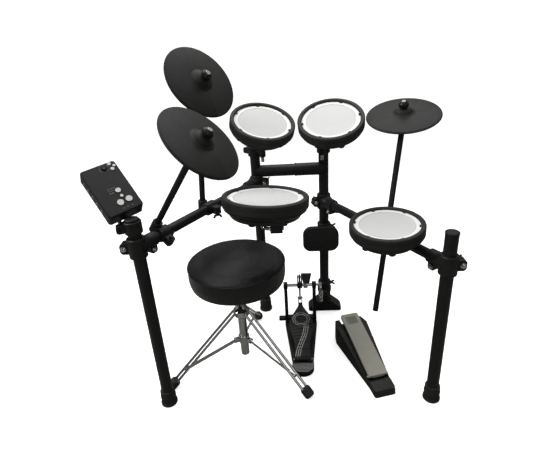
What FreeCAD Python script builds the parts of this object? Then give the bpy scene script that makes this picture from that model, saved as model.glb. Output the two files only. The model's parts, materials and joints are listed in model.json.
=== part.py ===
import FreeCAD, Part
import math
import os
from FreeCAD import Placement, Rotation, Vector

# Electronic drum kit on a tube rack, with its throne, kick pedal and hi-hat control pedal.
# Working frame in millimetres: X to the player's right, Y away from the player, Z up from the floor.
# X = 0 is the rack's middle and Y = 0 the line of its two front legs. The finished kit is moved
# so that the origin lies under the middle of its box.

# Rack tubes
TUBE_D = 40.0
TUBE_WALL = 2.0
ARM_D = 34.0
CROSSBAR_D = 48.0
LEG_X = 465.0
POST_X = 138.0
POST_Y = 555.0
POST_TOP = 800.0
LEFT_LEG_TOP = 722.0
RIGHT_LEG_TOP = 640.0
LEFT_ARM_Z = 633.0
RIGHT_ARM_Z = 538.0
CROSSBAR_Z = 680.0
CROSSBAR_SLEEVE = 62.0
CROSSBAR_SLEEVE_WALL = 1.6

# Tube ends
BOOT_H = 62.0
BOOT_FLOOR = 8.0
BOOT_WALL = 7.0
CAP_H = 6.0
CAP_PLUG = 14.0
STAND_FOOT_HALF = 75.0
STAND_FOOT_DEPTH = 62.0
STAND_FOOT_H = 52.0
STAND_FOOT_TIP = 12.0
STAND_SLEEVE_TOP = 150.0
STAND_T_Z = 136.0
STAND_KNOB_Z = 106.0

# Clamps and their screws
FIT = 0.1
CLAMP_WALL = 8.0
TEE_SLEEVE_H = 66.0
TEE_REACH = 72.0
TEE_INSERT = 36.0
LUG_THICK = 11.0
LUG_GAP = 4.0
LUG_LONG = 22.0
SCREW_D = 8.0
WING_SPAN = 34.0
ROD_CLAMP_H = 44.0
ROD_CLAMP_WALL = 6.5
POST_CLAMP_H = 40.0

# Cymbal pads and their boom rods
CYMBAL_D = 254.0
CYMBAL_EDGE = 9.0
CYMBAL_RISE = 12.0
BELL_D = 78.0
BELL_RISE = 14.0
CYMBAL_STEP = 1.4
STRIKE_SECTOR = 150.0
BOOM_D = 20.0
SEAT_BALL = 15.0
SEAT_GAP = 0.3
STUD_D = 8.0
NUT_D = 34.0
NUT_H = 22.0
CYMBALS = {
    "hihat": {"at": Vector(-229, 5, 946), "normal": Vector(0.666, -0.265, 0.698), "along": 0.165,
              "tail": 30.0},
    "crash": {"at": Vector(-268, 304, 1070), "normal": Vector(0.664, -0.507, 0.55), "along": 0.53,
              "tail": 30.0},
    "ride": {"at": Vector(401, 388, 918), "normal": Vector(-0.111, -0.274, 0.955), "along": 0.46,
             "tail": 300.0},
}

# Drum pads and the L rods that carry them
SNARE_D = 280.0
TOM_D = 235.0
RIM_INNER = 0.874
MESH_SHARE = 0.737
RIM_TOP = 9.0
RIM_BOTTOM = 26.0
TOM_DEPTH = 56.0
SNARE_DEPTH = 62.0
HEAD_THICK = 1.5
HOOP_TOP = 1.0
HOOP_DEPTH = 4.0
PAD_WALL = 3.0
HOOK_COUNT = 6
L_ROD_D = 13.0
L_ROD_BEND = 20.0
L_ROD_REACH = 48.0
HINGE_GAP = 0.05
HOLDER_W = 40.0
HOLDER_H = 28.0
PADS = {
    "snare": {"d": SNARE_D, "depth": SNARE_DEPTH, "at": Vector(-79, 148, 719),
              "normal": Vector(0.057, 0.102, 0.993), "toward": Vector(-0.144, 0.989, 0)},
    "tom_1": {"d": TOM_D, "depth": TOM_DEPTH, "at": Vector(-88, 403, 907),
              "normal": Vector(0.21, -0.372, 0.904), "toward": Vector(-0.49, 0.87, 0)},
    "tom_2": {"d": TOM_D, "depth": TOM_DEPTH, "at": Vector(152, 391, 906),
              "normal": Vector(-0.092, -0.433, 0.897), "toward": Vector(0.208, 0.978, 0)},
    "tom_3": {"d": TOM_D, "depth": TOM_DEPTH, "at": Vector(300, 101, 628),
              "normal": Vector(-0.034, -0.061, 0.998), "toward": Vector(0.5, 0.866, 0)},
}
SNARE_HOLDER_X = 42.0
SNARE_HOLDER_Y = 45.0
SNARE_HOLDER_DROP = 122.0
SNARE_CLAMP_Z = 558.0
TOM_CLAMP_Z = 766.0

# Sound module
MODULE_W = 110.0
MODULE_L = 178.0
MODULE_T = 45.0
MODULE_AT = Vector(-LEG_X - 61, 51, LEFT_LEG_TOP + 84)
MODULE_NORMAL = Vector(0.37, -0.54, 0.757)
MODULE_UP = Vector(-0.575, 0.5, 0.65)
MODULE_PIVOT_DOWN = 52.0
MODULE_PIVOT_BACK = 26.0
PLATE_T = 4.0
BUTTON_TRAVEL = 1.2
BUTTON_PROUD = 2.2
BUTTON_HOLE = 6.0
SMALL_BUTTON = 7.0
MEDIUM_BUTTON = 10.0
LARGE_BUTTON = 14.0
BUTTONS = [(35, 80, SMALL_BUTTON), (46, 69, SMALL_BUTTON), (36, 60, SMALL_BUTTON), (12.5, -15, MEDIUM_BUTTON),
           (12.5, -36, SMALL_BUTTON), (26, -54, LARGE_BUTTON), (-2, -55, LARGE_BUTTON)]
DIAL_AT = (14.5, 72.0)
DIAL_D = 17.0
DIAL_PROUD = 6.0
JACK_D = 7.0

# Kick pad on the right upright
KICK_W = 150.0
KICK_H = 110.0
KICK_T = 34.0
KICK_Z = 387.0
KICK_SHIFT = -18.0
STRIKE_GAP = 1.5
KICK_BACK_T = 12.0
KICK_CREASE = 6.0
KICK_BOLT_Z = 34.0

# Kick pedal
PEDAL_X = 24.0
HEEL_END_Y = 109.0
HEEL_HINGE_Y = 172.0
HEEL_HINGE_Z = 30.0
BOARD_LEN = 336.0
BOARD_CLEVIS = 28.0
BOARD_TIP = BOARD_LEN - BOARD_CLEVIS
BOARD_RISE = 7.7
BOARD_T = 7.0
BOARD_HEEL_W = 68.0
BOARD_WIDE = 94.0
BOARD_WIDE_AT = BOARD_TIP - 98
HEEL_W = 84.0
HEEL_H = 22.0
BASE_T = 5.0
BASE_TOE_W = 140.0
UPRIGHT_X = 62.0
UPRIGHT_T = 14.0
AXLE_Z = 185.0
AXLE_FLATS = 12.0
JOURNAL_D = 10.0
CAM_R = 44.0
CAM_REST = 20.0
BEATER_SWING = 50.0
BEATER_X = 25.0
BEATER_REACH = 170.0
BEATER_ROD_D = 9.0
BEATER_HEAD = 40.0
LINK_PIN_D = 6.0
TOE_PIN_UP = 14.0
SPRING_WIRE = 2.4
SPRING_D = 18.0
SPRING_TURNS = 9
SPRING_LEN = 62.0
ROCKER_R = 24.0
HINGE_PIN_D = 6.0

# Hi-hat control pedal
HAT_HEEL_AT = Vector(307, 24, 0)
HAT_YAW = 15.0
HAT_LEN = 338.0
HAT_HINGE_Y = 56.0
HAT_HINGE_Z = 34.0
HAT_BOARD_L = 285.0
HAT_BOARD_W = 72.0
HAT_BOARD_T = 10.0
HAT_RISE = 14.0
HAT_TRAVEL = 7.0
HAT_TOE_W = 132.0
HAT_HEEL_W = 80.0
HAT_WALL_TOE = 84.0
HAT_TOE_STOP = 60.0
HAT_SIDE_GAP = 2.0

# Throne
THRONE_AT = Vector(-200, 187, 0)
SEAT_D = 340.0
SEAT_TOP = 492.0
SEAT_BOTTOM = 412.0
SEAT_SIDE = 52.0
SEAT_PLATE_D = 250.0
SEAT_PLATE_T = 6.0
THRONE_POST_D = 25.0
COLUMN_D = 32.0
COLUMN_BOTTOM = 58.0
COLUMN_TOP = 292.0
HUB_Z = 258.0
COLLAR_Z = 130.0
THRONE_FOOT_R = 288.0
THRONE_TURN = 84.0
LEG_BAR_D = 10.0
LEG_BAR_GAP = 12.0
BRACE_AT = 0.8

Z = Vector(0, 0, 1)


def unit(v):
    return Vector(v).normalize()


def facing(at, normal, toward):
    """A placement whose local Z is the normal and whose local Y leans toward the given direction."""
    n = unit(normal)
    y = unit(toward - n * toward.dot(n))
    return Placement(at, Rotation(y.cross(n), y, n, "ZXY"))


def moved(shape, placement):
    out = shape.copy()
    out.Placement = placement.multiply(out.Placement)
    return out


def bar(p, q, d):
    return Part.makeCylinder(d / 2, (q - p).Length, p, q - p)


def pipe(p, q, d, wall):
    return bar(p, q, d).cut(bar(p, q, d - 2 * wall))


def box(x0, x1, y0, y1, z0, z1):
    return Part.makeBox(x1 - x0, y1 - y0, z1 - z0, Vector(x0, y0, z0))


def fused(shapes):
    out = shapes[0].fuse(shapes[1:]) if len(shapes) > 1 else shapes[0]
    return out.removeSplitter()


def group(shapes):
    return Part.makeCompound(shapes)


def wire(points, bulge=()):
    """A closed wire in the XZ plane; bulge maps a side's index to the point its arc passes through."""
    bulge = dict(bulge)
    ends = [Vector(x, 0, z) for x, z in points]
    edges = []
    for i, p in enumerate(ends):
        q = ends[(i + 1) % len(ends)]
        if i in bulge:
            m = bulge[i]
            edges.append(Part.Arc(p, Vector(m[0], 0, m[1]), q).toShape())
        else:
            edges.append(Part.LineSegment(p, q).toShape())
    return Part.Wire(edges)


def turned(points, bulge=()):
    """A solid of revolution about Z from a closed profile of (radius, height) points."""
    return Part.Face(wire(points, bulge)).revolve(Vector(), Z, 360)


def dome(r, edge, rise):
    """The point halfway in along a round crown of radius r that rises above its edge."""
    ball = (r * r + rise * rise) / (2 * rise)
    return r / 2, edge + rise - ball + math.sqrt(ball * ball - r * r / 4)


def bent_rod(points, d, bend):
    """A round rod along straight runs joined by tangent arcs of one bend radius."""
    edges = []
    start = points[0]
    for before, corner, after in zip(points, points[1:], points[2:]):
        a = unit(before - corner)
        b = unit(after - corner)
        half = a.getAngle(b) / 2
        back = bend / math.tan(half)
        p, q = corner + a * back, corner + b * back
        centre = corner + unit(a + b) * (bend / math.sin(half))
        middle = centre + unit(corner - centre) * bend
        edges.append(Part.LineSegment(start, p).toShape())
        edges.append(Part.Arc(p, middle, q).toShape())
        start = q
    edges.append(Part.LineSegment(start, points[-1]).toShape())
    path = Part.Wire(edges)
    section = Part.Wire(Part.makeCircle(d / 2, points[0], points[1] - points[0]))
    return path.makePipeShell([section], True, False)


# Rack tubes, caps and boots
LEGS = {-1: Vector(-LEG_X, 0, 0), 1: Vector(LEG_X, 0, 0)}
POSTS = {-1: Vector(-POST_X, POST_Y, 0), 1: Vector(POST_X, POST_Y, 0)}
LEG_TOP = {-1: LEFT_LEG_TOP, 1: RIGHT_LEG_TOP}
ARM_Z = {-1: LEFT_ARM_Z, 1: RIGHT_ARM_Z}


def arm_point(side, along):
    """A point on a side arm's axis, from its leg (0) to its upright (1)."""
    return LEGS[side] + (POSTS[side] - LEGS[side]) * along + Z * ARM_Z[side]


def arm_dir(side):
    return unit(POSTS[side] - LEGS[side])


def leg_tubes():
    return group([pipe(LEGS[s] + Z * BOOT_FLOOR, LEGS[s] + Z * LEG_TOP[s], TUBE_D, TUBE_WALL) for s in LEGS])


def post_tubes():
    return group([pipe(POSTS[s] + Z * BOOT_FLOOR, POSTS[s] + Z * POST_TOP, TUBE_D, TUBE_WALL) for s in POSTS])


def arm_tubes():
    tubes = []
    for side in LEGS:
        inset = arm_dir(side) * (TEE_REACH - TEE_INSERT)
        tubes.append(pipe(arm_point(side, 0) + inset, arm_point(side, 1) - inset, ARM_D, TUBE_WALL))
    return group(tubes)


def crossbar():
    """The welded crossbar, saddle-cut round the uprights, with a thicker sleeve at its right end."""
    left, right = (POSTS[s] + Z * CROSSBAR_Z for s in (-1, 1))
    sleeve_start = right - Vector(POST_X - CROSSBAR_SLEEVE + TUBE_D, 0, 0)
    solid = bar(left, right, CROSSBAR_D).fuse(bar(sleeve_start, right, CROSSBAR_D + 2 * CROSSBAR_SLEEVE_WALL))
    solid = solid.cut(bar(left, right, CROSSBAR_D - 2 * TUBE_WALL))
    ring = pipe(sleeve_start, sleeve_start + Vector(5, 0, 0), CROSSBAR_D + 7, 5)
    solid = solid.fuse(ring)
    reach = CROSSBAR_D * Z
    for end in (left, right):
        solid = solid.cut(bar(end - reach, end + reach, TUBE_D + 2 * FIT))
    return solid.removeSplitter()


def cap():
    r = TUBE_D / 2
    plug = r - TUBE_WALL - FIT
    return turned([(0, -CAP_PLUG), (plug, -CAP_PLUG), (plug, 0), (r + 1, 0), (r + 1, CAP_H - 2),
                   (r - 1, CAP_H),
                   (r - 4, CAP_H), (r - 5, CAP_H - 1), (0, CAP_H - 1)])


def tube_caps():
    tops = [LEGS[s] + Z * LEG_TOP[s] for s in LEGS] + [POSTS[s] + Z * POST_TOP for s in POSTS]
    return group([moved(cap(), Placement(p, Rotation())) for p in tops])


def boot():
    """Rubber boot with a flared tread and two grip ribs."""
    bore = TUBE_D / 2 + FIT
    r = bore + BOOT_WALL
    return turned([(0, 0), (r, 0), (r + 2, 3), (r + 2, 9), (r, 12), (r - 1, 30), (r, 33), (r, 37),
                   (r - 1, 40),
                   (r - 2, BOOT_H - 3), (r - 4, BOOT_H), (bore, BOOT_H), (bore, BOOT_FLOOR), (0, BOOT_FLOOR)])


def rubber_feet():
    feet = [moved(boot(), Placement(p, Rotation())) for p in (LEGS[-1], LEGS[1], POSTS[-1])]
    return group(feet + [throne_foot(i) for i in range(3)])


def kick_stand_foot():
    """Socket and wedge foot under the right upright, long enough to keep the kick pad steady."""
    h, tip = STAND_FOOT_HALF, STAND_FOOT_TIP
    r = TUBE_D / 2 + CLAMP_WALL
    side = wire([(-h, 0), (h, 0), (h, tip), (r, STAND_FOOT_H), (-r, STAND_FOOT_H), (-h, tip)])
    wedge = Part.Face(side).extrude(Vector(0, STAND_FOOT_DEPTH, 0))
    wedge.translate(Vector(0, -STAND_FOOT_DEPTH / 2, 0))
    corners = [e for e in wedge.Edges if e.Length < STAND_FOOT_TIP + 1]
    wedge = wedge.makeFillet(STAND_FOOT_TIP, corners)
    sleeve = turned([(0, 0), (r, 0), (r, STAND_SLEEVE_TOP - 3), (r - 3, STAND_SLEEVE_TOP),
                     (0, STAND_SLEEVE_TOP)])
    ring = turned([(0, 96), (r + 3, 96), (r + 3, 116), (0, 116)])
    bore = Part.makeCylinder(TUBE_D / 2 + FIT, STAND_SLEEVE_TOP, Vector(0, 0, BOOT_FLOOR))
    taps = [bar(Z * STAND_T_Z, Vector(2 * r, 0, STAND_T_Z), SCREW_D + 2 * FIT),
            bar(Z * STAND_KNOB_Z, Vector(0, -2 * r, STAND_KNOB_Z), SCREW_D + 2 * FIT)]
    return moved(fused([wedge, sleeve, ring]).cut([bore] + taps), Placement(POSTS[1], Rotation()))


# Clamps and wing screws
def sleeve(at, axis, inner, wall, height):
    """A clamp sleeve with chamfered ends, still solid inside."""
    r = inner / 2 + wall
    c = wall / 3
    h = height / 2
    body = turned([(0, -h), (r - c, -h), (r, c - h), (r, h - c), (r - c, h), (0, h)])
    return moved(body, Placement(at, Rotation(Z, axis)))


def lug(at, out, axis, start, length):
    """A pair of pinch ears that stand out from a sleeve; returns the ears and the slit between them."""
    frame = facing(at, axis, out)
    wide = LUG_THICK + LUG_GAP / 2
    ears = box(-wide, wide, 0, start + LUG_LONG, -length / 2, length / 2)
    tall = [e for e in ears.Edges if abs(e.Vertexes[0].Y - e.Vertexes[1].Y) < 1 and e.CenterOfMass.y > start
            and abs(e.Vertexes[0].X - e.Vertexes[1].X) > 1]
    ears = ears.makeFillet(min(LUG_LONG / 2, length / 3), tall)
    slit = box(-LUG_GAP / 2, LUG_GAP / 2, 0, start + LUG_LONG + 1, -length, length)
    hole = Part.makeCylinder(SCREW_D / 2 + FIT, 4 * wide, Vector(-2 * wide, start + LUG_LONG / 2, 0),
                             Vector(1, 0, 0))
    return moved(ears, frame), moved(slit, frame), moved(hole, frame)


def screw_at_lug(at, out, axis, start, turn=20.0, flip=1):
    """The wing screw of a pinch lug, seated on the outer face of one ear."""
    frame = facing(at, axis, out)
    wide = LUG_THICK + LUG_GAP / 2
    place = Placement(Vector(flip * wide, start + LUG_LONG / 2, 0), Rotation(Z, Vector(flip, 0, 0)))
    return moved(wing_screw(2 * wide, turn), frame.multiply(place))


def wing_screw(shank, turn=0.0):
    """A wing screw along local Z, seated at Z = 0, with its shank below and its two wings above."""
    neck = turned([(0, -shank), (SCREW_D / 2, -shank), (SCREW_D / 2, 0), (SCREW_D, 0), (SCREW_D * 0.75, 10),
                   (0, 10)])
    half = WING_SPAN / 2
    blade = wire([(0, 2), (half - 4, 8), (half, 17), (half - 6, 19), (SCREW_D * 0.6, 11),
                  (-SCREW_D * 0.6, 11),
                  (6 - half, 19), (-half, 17), (4 - half, 8)])
    wings = Part.Face(blade).extrude(Vector(0, 5, 0))
    wings.translate(Vector(0, -2.5, 0))
    out = fused([neck, wings])
    out.rotate(Vector(), Z, turn)
    return out


def knob_screw(shank, d=24.0):
    """A round lobed knob on a screw along local Z, seated at Z = 0."""
    head = turned([(0, -shank), (SCREW_D / 2, -shank), (SCREW_D / 2, 0), (d / 3, 0), (d / 3, 6), (d / 2, 8),
                   (d / 2, 18), (d / 2 - 3, 21), (0, 21)])
    notches = [Part.makeCylinder(d / 7, 30, Vector(d * 0.58, 0, 5)) for _ in range(6)]
    for i, notch in enumerate(notches):
        notch.rotate(Vector(), Z, 60.0 * i)
    return head.cut(notches)


TEES = [("leg", -1, Vector(-1, 0, 0)), ("leg", 1, Vector(1, 0, 0)), ("post", -1, Vector(1, -0.3, 0)),
        ("post", 1, Vector(-1, -0.3, 0))]


def tee_frame(kind, side):
    base = LEGS[side] if kind == "leg" else POSTS[side]
    direction = arm_dir(side) * (1 if kind == "leg" else -1)
    return base + Z * ARM_Z[side], direction


def tee_clamp(kind, side, out):
    """Cast tee: a split sleeve on the upright tube and a flared, split socket for the side arm."""
    at, along = tee_frame(kind, side)
    r = TUBE_D / 2 + CLAMP_WALL
    socket = ARM_D / 2 + CLAMP_WALL - 2
    flare = turned([(0, 0), (r + 2, 0), (r, 22), (socket, 40), (socket, TEE_REACH - 3),
                    (socket - 3, TEE_REACH),
                    (0, TEE_REACH)])
    flare = moved(flare, Placement(at, Rotation(Z, along)))
    ears, slit, hole = lug(at, out, Z, r, TEE_SLEEVE_H * 0.55)
    low, low_slit, low_hole = lug(at + along * (TEE_REACH - 20), -Z, along, socket - 4, 26)
    body = fused([sleeve(at, Z, TUBE_D, CLAMP_WALL, TEE_SLEEVE_H), flare, ears, low])
    reach = Z * TEE_SLEEVE_H
    cuts = [bar(at - reach, at + reach, TUBE_D + 2 * FIT), slit, hole, low_slit, low_hole,
            bar(at + along * (TEE_REACH - TEE_INSERT), at + along * (TEE_REACH + 1), ARM_D + 2 * FIT)]
    if kind == "post":
        relief = CROSSBAR_D + 2 * CROSSBAR_SLEEVE_WALL + 2
        cuts.append(bar(POSTS[-1] + Z * CROSSBAR_Z - Vector(60, 0, 0), POSTS[1] + Z * CROSSBAR_Z, relief))
    return body.cut(cuts).removeSplitter()


def tee_screws(kind, side, out):
    at, along = tee_frame(kind, side)
    r = TUBE_D / 2 + CLAMP_WALL
    socket = ARM_D / 2 + CLAMP_WALL - 2
    flip = -side if kind == "leg" else side
    return [screw_at_lug(at, out, Z, r, 25, flip),
            screw_at_lug(at + along * (TEE_REACH - 20), -Z, along, socket - 4, 70, -flip)]


def clamp_gap(tube_d, rod_d):
    """How far apart a clamped tube and rod run, axis to axis."""
    return (tube_d + rod_d) / 2 + ROD_CLAMP_WALL


def cross_clamp(at, axis, tube_d, rod_at, rod_axis, rod_d, height):
    """A cast clamp that grips a tube and a rod that passes beside it, with a pinch lug on the tube side."""
    out = unit(at - rod_at - axis * (at - rod_at).dot(axis))
    r = tube_d / 2 + ROD_CLAMP_WALL
    ears, slit, hole = lug(at, out, axis, r, height * 0.6)
    body = fused([sleeve(at, axis, tube_d, ROD_CLAMP_WALL, height),
                  sleeve(rod_at, rod_axis, rod_d, ROD_CLAMP_WALL, height),
                  bar(at, rod_at, min(height, rod_d + 2 * ROD_CLAMP_WALL) * 0.92), ears])
    cuts = [bar(at - axis * height, at + axis * height, tube_d + 2 * FIT), slit, hole,
            bar(rod_at - rod_axis * height, rod_at + rod_axis * height, rod_d + 2 * FIT)]
    return body.cut(cuts).removeSplitter()


def clamp_screw(at, axis, tube_d, rod_at, turn, flip):
    out = unit(at - rod_at - axis * (at - rod_at).dot(axis))
    return screw_at_lug(at, out, axis, tube_d / 2 + ROD_CLAMP_WALL, turn, flip)


# Cymbal boom rods: where each starts at its arm clamp and where it ends under its cymbal
def boom(name):
    """Clamp point on the arm, point on the rod beside it, tilter point and rod direction."""
    c = CYMBALS[name]
    side = 1 if name == "ride" else -1
    grip = arm_point(side, c["along"])
    top = c["at"] - unit(c["normal"]) * (SEAT_BALL + 14)
    aim = unit(top - grip)
    for _ in range(4):
        apart = unit(arm_dir(side).cross(aim)) * clamp_gap(ARM_D, BOOM_D) * side
        aim = unit(top - (grip + apart))
    return grip, grip + apart, top, aim, side


def cymbal_rods():
    rods = []
    for name, c in CYMBALS.items():
        grip, beside, top, aim, side = boom(name)
        rod = bar(beside - aim * c["tail"], top, BOOM_D)
        rod = rod.makeFillet(2, [rod.Edges[0], rod.Edges[2]])
        rods.append(rod.cut(bar(top - aim * 22, top, BOOM_D - 5)))
    return group(rods)


def cymbal_tilter(name):
    """Tilter: a plug in the rod's end, a knuckle, a round seat for the cymbal and a threaded stud."""
    c = CYMBALS[name]
    grip, beside, top, aim, side = boom(name)
    n = unit(c["normal"])
    seat = c["at"]
    knuckle = turned([(0, -10), (11, -10), (13, -7), (13, 7), (11, 10), (0, 10)])
    knuckle = moved(knuckle, Placement(top, Rotation(Z, unit(aim.cross(n)))))
    neck, rise = SEAT_BALL * 0.53, SEAT_BALL / 3
    ball = turned([(0, (top - seat).dot(n)), (neck, (top - seat).dot(n)),
                   (neck, -math.sqrt(SEAT_BALL ** 2 - neck ** 2)),
                   (math.sqrt(SEAT_BALL ** 2 - rise ** 2), rise), (STUD_D / 2, rise),
                   (STUD_D / 2, BELL_RISE + NUT_H),
                   (0, BELL_RISE + NUT_H)], {2: (SEAT_BALL, 0)})
    ball = moved(ball, Placement(seat, Rotation(Z, n)))
    plug = bar(top - aim * 20, top, BOOM_D - 5 - 2 * FIT)
    head = bar(top - aim * 2, top + aim * 4, BOOM_D - 1)
    trimmed = fused([knuckle, head, ball]).cut(bar(top - aim * 30, top, BOOM_D + 2 * FIT))
    return fused([trimmed, plug])


def cymbal_tilters():
    return group([cymbal_tilter(name) for name in CYMBALS])


def cymbal_frame(name):
    c = CYMBALS[name]
    return facing(c["at"], c["normal"], Vector(0, -1, 0.2))


def cymbal_pad():
    """Rubber-covered disc with a raised bell; the striking sector towards the player stands a step proud."""
    r, edge, bell = CYMBAL_D / 2, CYMBAL_EDGE, BELL_D / 2
    top = BELL_RISE + 4
    hole = STUD_D / 2 + 3.5
    low = -CYMBAL_RISE
    body = turned([(hole, top - 8), (hole, top), (hole + 6, top), (bell * 0.8, 5), (bell, 1),
                   (r - 4, low + edge - 4),
                   (r, low + edge - 8), (r - 1, low), (bell, 1 - edge), (bell * 0.7, -4),
                   (hole + 8, top - 8)],
                  {2: (bell * 0.55, top - 3), 4: (r * 0.66, low * 0.25 + 2), 5: (r - 0.8, low + edge - 5.4),
                   7: (r * 0.66, low * 0.3 - edge * 0.8)})
    cup = Part.makeSphere(SEAT_BALL + SEAT_GAP)
    collar = Part.makeCylinder(SEAT_BALL + 4, 13, Vector(0, 0, -2))
    sector = wire([(bell + 6, -8), (r - 5, low - 1), (r - 5, low + edge - 4 + CYMBAL_STEP),
                   (bell + 6, 1 + CYMBAL_STEP)], {2: (r * 0.66, low * 0.25 + 2 + CYMBAL_STEP)})
    raised = Part.Face(sector).revolve(Vector(), Z, STRIKE_SECTOR)
    raised.rotate(Vector(), Z, 90 - STRIKE_SECTOR / 2)
    keep = turned([(0, low - 20), (r, low - 20), (r, 40), (0, 40)])
    under = turned([(bell, 0 - edge), (bell, -60), (r + 5, -60), (r + 5, low), (r - 1, low)],
                   {4: (r * 0.66, low * 0.3 - edge * 0.8)})
    body = fused([body, collar, raised.common(keep).cut(under)])
    bore = turned([(0, -30), (SEAT_BALL * 2, -30), (SEAT_BALL * 2, -6), (0, -6)])
    throat = turned([(0, 0), (hole, 0), (hole, top + 1), (0, top + 1)])
    return body.cut([cup, bore, throat]).removeSplitter()


def cymbal_nut(name):
    """Ribbed cap nut with a small bright tip, screwed down on the tilter's stud clear of the rocking bell."""
    base = BELL_RISE + 4 + 3.2
    r = NUT_D / 2
    nut = turned([(STUD_D / 2 + FIT, 0), (r * 0.55, 0), (r, 4), (r, 13), (r * 0.72, 18), (r * 0.4, NUT_H),
                  (0, NUT_H), (0, 16), (STUD_D / 2 + FIT, 16)])
    flutes = [Part.makeCylinder(1.6, 16, Vector(r + 0.5, 0, 2)) for _ in range(16)]
    for i, flute in enumerate(flutes):
        flute.rotate(Vector(), Z, 360.0 / len(flutes) * i)
    nut = nut.cut(flutes)
    nut.translate(Vector(0, 0, base))
    return moved(nut, cymbal_frame(name))


def cymbal_nuts():
    return group([cymbal_nut(name) for name in CYMBALS])


# Drum pads
def pad_frame(name):
    p = PADS[name]
    return facing(p["at"], p["normal"], p["toward"])


def pad_radii(d):
    """Rim radius, inner rim radius, mesh radius and the radius where rim and body meet."""
    r = d / 2
    return r, r * RIM_INNER, r * MESH_SHARE, r * RIM_INNER + 6


def pad_rim(d):
    """Rubber rim with a rounded lip and small hooks that hold the head's hoop down."""
    r, inner, mesh, meet = pad_radii(d)
    rim = turned([(inner, -HOOP_DEPTH), (inner, RIM_TOP - 4), (inner + 5, RIM_TOP), (r - 6, RIM_TOP - 0.5),
                  (r, RIM_TOP - 6), (r, 4 - RIM_BOTTOM), (r - 4, -RIM_BOTTOM), (meet, -RIM_BOTTOM),
                  (meet, -HOOP_DEPTH)],
                 {1: (inner + 1.4, RIM_TOP - 1.2), 3: (r - 1.6, RIM_TOP - 2), 5: (r - 1.2, 1.2 - RIM_BOTTOM)})
    hooks = []
    for i in range(HOOK_COUNT):
        hook = box(inner - 6, inner + 3, -5, 5, HOOP_TOP + 0.2, HOOP_TOP + 3.2)
        hook.rotate(Vector(), Z, 360.0 / HOOK_COUNT * (i + 0.25))
        hooks.append(hook)
    groove = turned([(r - 1.2, -9), (r + 1, -9), (r + 1, -7.5), (r - 1.2, -7.5)])
    return fused([rim] + hooks).cut(groove)


def pad_head(d):
    """Mesh head stretched in its white hoop."""
    r, inner, mesh, meet = pad_radii(d)
    edge = inner - 0.3
    return turned([(0, -HEAD_THICK), (mesh - 2, -HEAD_THICK), (mesh - 2, -HOOP_DEPTH), (edge, -HOOP_DEPTH),
                   (edge, HOOP_TOP - 0.6), (edge - 0.6, HOOP_TOP), (mesh + 1, HOOP_TOP), (mesh, 0), (0, 0)])


def holder_at(name):
    """The holder's hinge point in the pad's own frame."""
    p = PADS[name]
    if name == "snare":
        return Vector(SNARE_HOLDER_X, SNARE_HOLDER_Y, -SNARE_HOLDER_DROP)
    return Vector(0, p["d"] / 2 - 4, -RIM_BOTTOM - 1 - HOLDER_H / 2)


def pad_body(name):
    """Bowl-shaped body with foot bosses, trigger bridge, and the rod holder with its wing screw."""
    d, depth = PADS[name]["d"], PADS[name]["depth"]
    r, inner, mesh, meet = pad_radii(d)
    out, low, t = r - 6, r * 0.84, PAD_WALL
    bottom = r * 0.7
    outer = turned([(0, -depth), (bottom, -depth), (low, 14 - depth), (out, -RIM_BOTTOM - 8),
                    (out, -RIM_BOTTOM),
                    (meet - 0.3, -RIM_BOTTOM), (meet - 0.3, -HOOP_DEPTH), (0, -HOOP_DEPTH)],
                   {1: (low - 5, 4 - depth)})
    inside = turned([(0, t - depth), (bottom - t, t - depth), (low - t - 2, 15 - depth),
                     (out - t - 2, -RIM_BOTTOM - 8),
                     (meet - t - 1, -RIM_BOTTOM - 4), (meet - t - 1, 0), (0, 0)])
    shell = outer.cut(inside)
    bosses = []
    for i in range(HOOK_COUNT):
        boss = turned([(0, -depth - 5), (9, -depth - 5), (12, -depth - 2), (12, 16 - depth), (0, 16 - depth)])
        boss.translate(Vector(r * 0.7, 0, 0))
        boss.rotate(Vector(), Z, 360.0 / HOOK_COUNT * i)
        bosses.append(boss.cut(inside))
    bridge = box(-meet + t, meet - t, -14, 14, -RIM_BOTTOM, 5 - RIM_BOTTOM)
    cone = turned([(0, -RIM_BOTTOM), (16, -RIM_BOTTOM), (16, 8 - RIM_BOTTOM), (5, -HEAD_THICK - 0.3),
                   (0, -HEAD_THICK - 0.3)])
    h = holder_at(name)
    w, s = HOLDER_W / 2, HOLDER_H / 2
    if name == "snare":
        block = box(h.x - w, h.x + w, h.y - 16, h.y + 16, h.z - s, 1 - depth)
    else:
        block = box(-w, w, out - 24, h.y + s, h.z - s, h.z + s)
    keep_out = inside.fuse(turned([(meet - 0.3, -RIM_BOTTOM), (r + 60, -RIM_BOTTOM), (r + 60, 60),
                                   (meet - 0.3, 60)]))
    block = block.makeFillet(4, [e for e in block.Edges if abs(e.Vertexes[0].X - e.Vertexes[1].X) > 1])
    body = fused([shell, bridge, cone, block.cut(keep_out)] + bosses)
    hole = Part.makeCylinder(L_ROD_D / 2 + HINGE_GAP, 4 * w, Vector(h.x - 2 * w, h.y, h.z), Vector(1, 0, 0))
    tap_y = h.y + (16 if name == "snare" else s)
    tap = Part.makeCylinder(SCREW_D / 2 + FIT, 12, Vector(h.x, tap_y + 1, h.z), Vector(0, -1, 0))
    screw = wing_screw(tap_y - h.y - L_ROD_D / 2 - 1, 35)
    screw = moved(screw, Placement(Vector(h.x, tap_y, h.z), Rotation(Z, Vector(0, 1, 0))))
    return group([body.cut([hole, tap]).removeSplitter(), screw])


def rod_turn(name):
    """Which way along its hinge axis each L rod leaves the holder before it bends."""
    return {"snare": -1, "tom_1": 1, "tom_2": -1, "tom_3": 1}[name]


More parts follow.
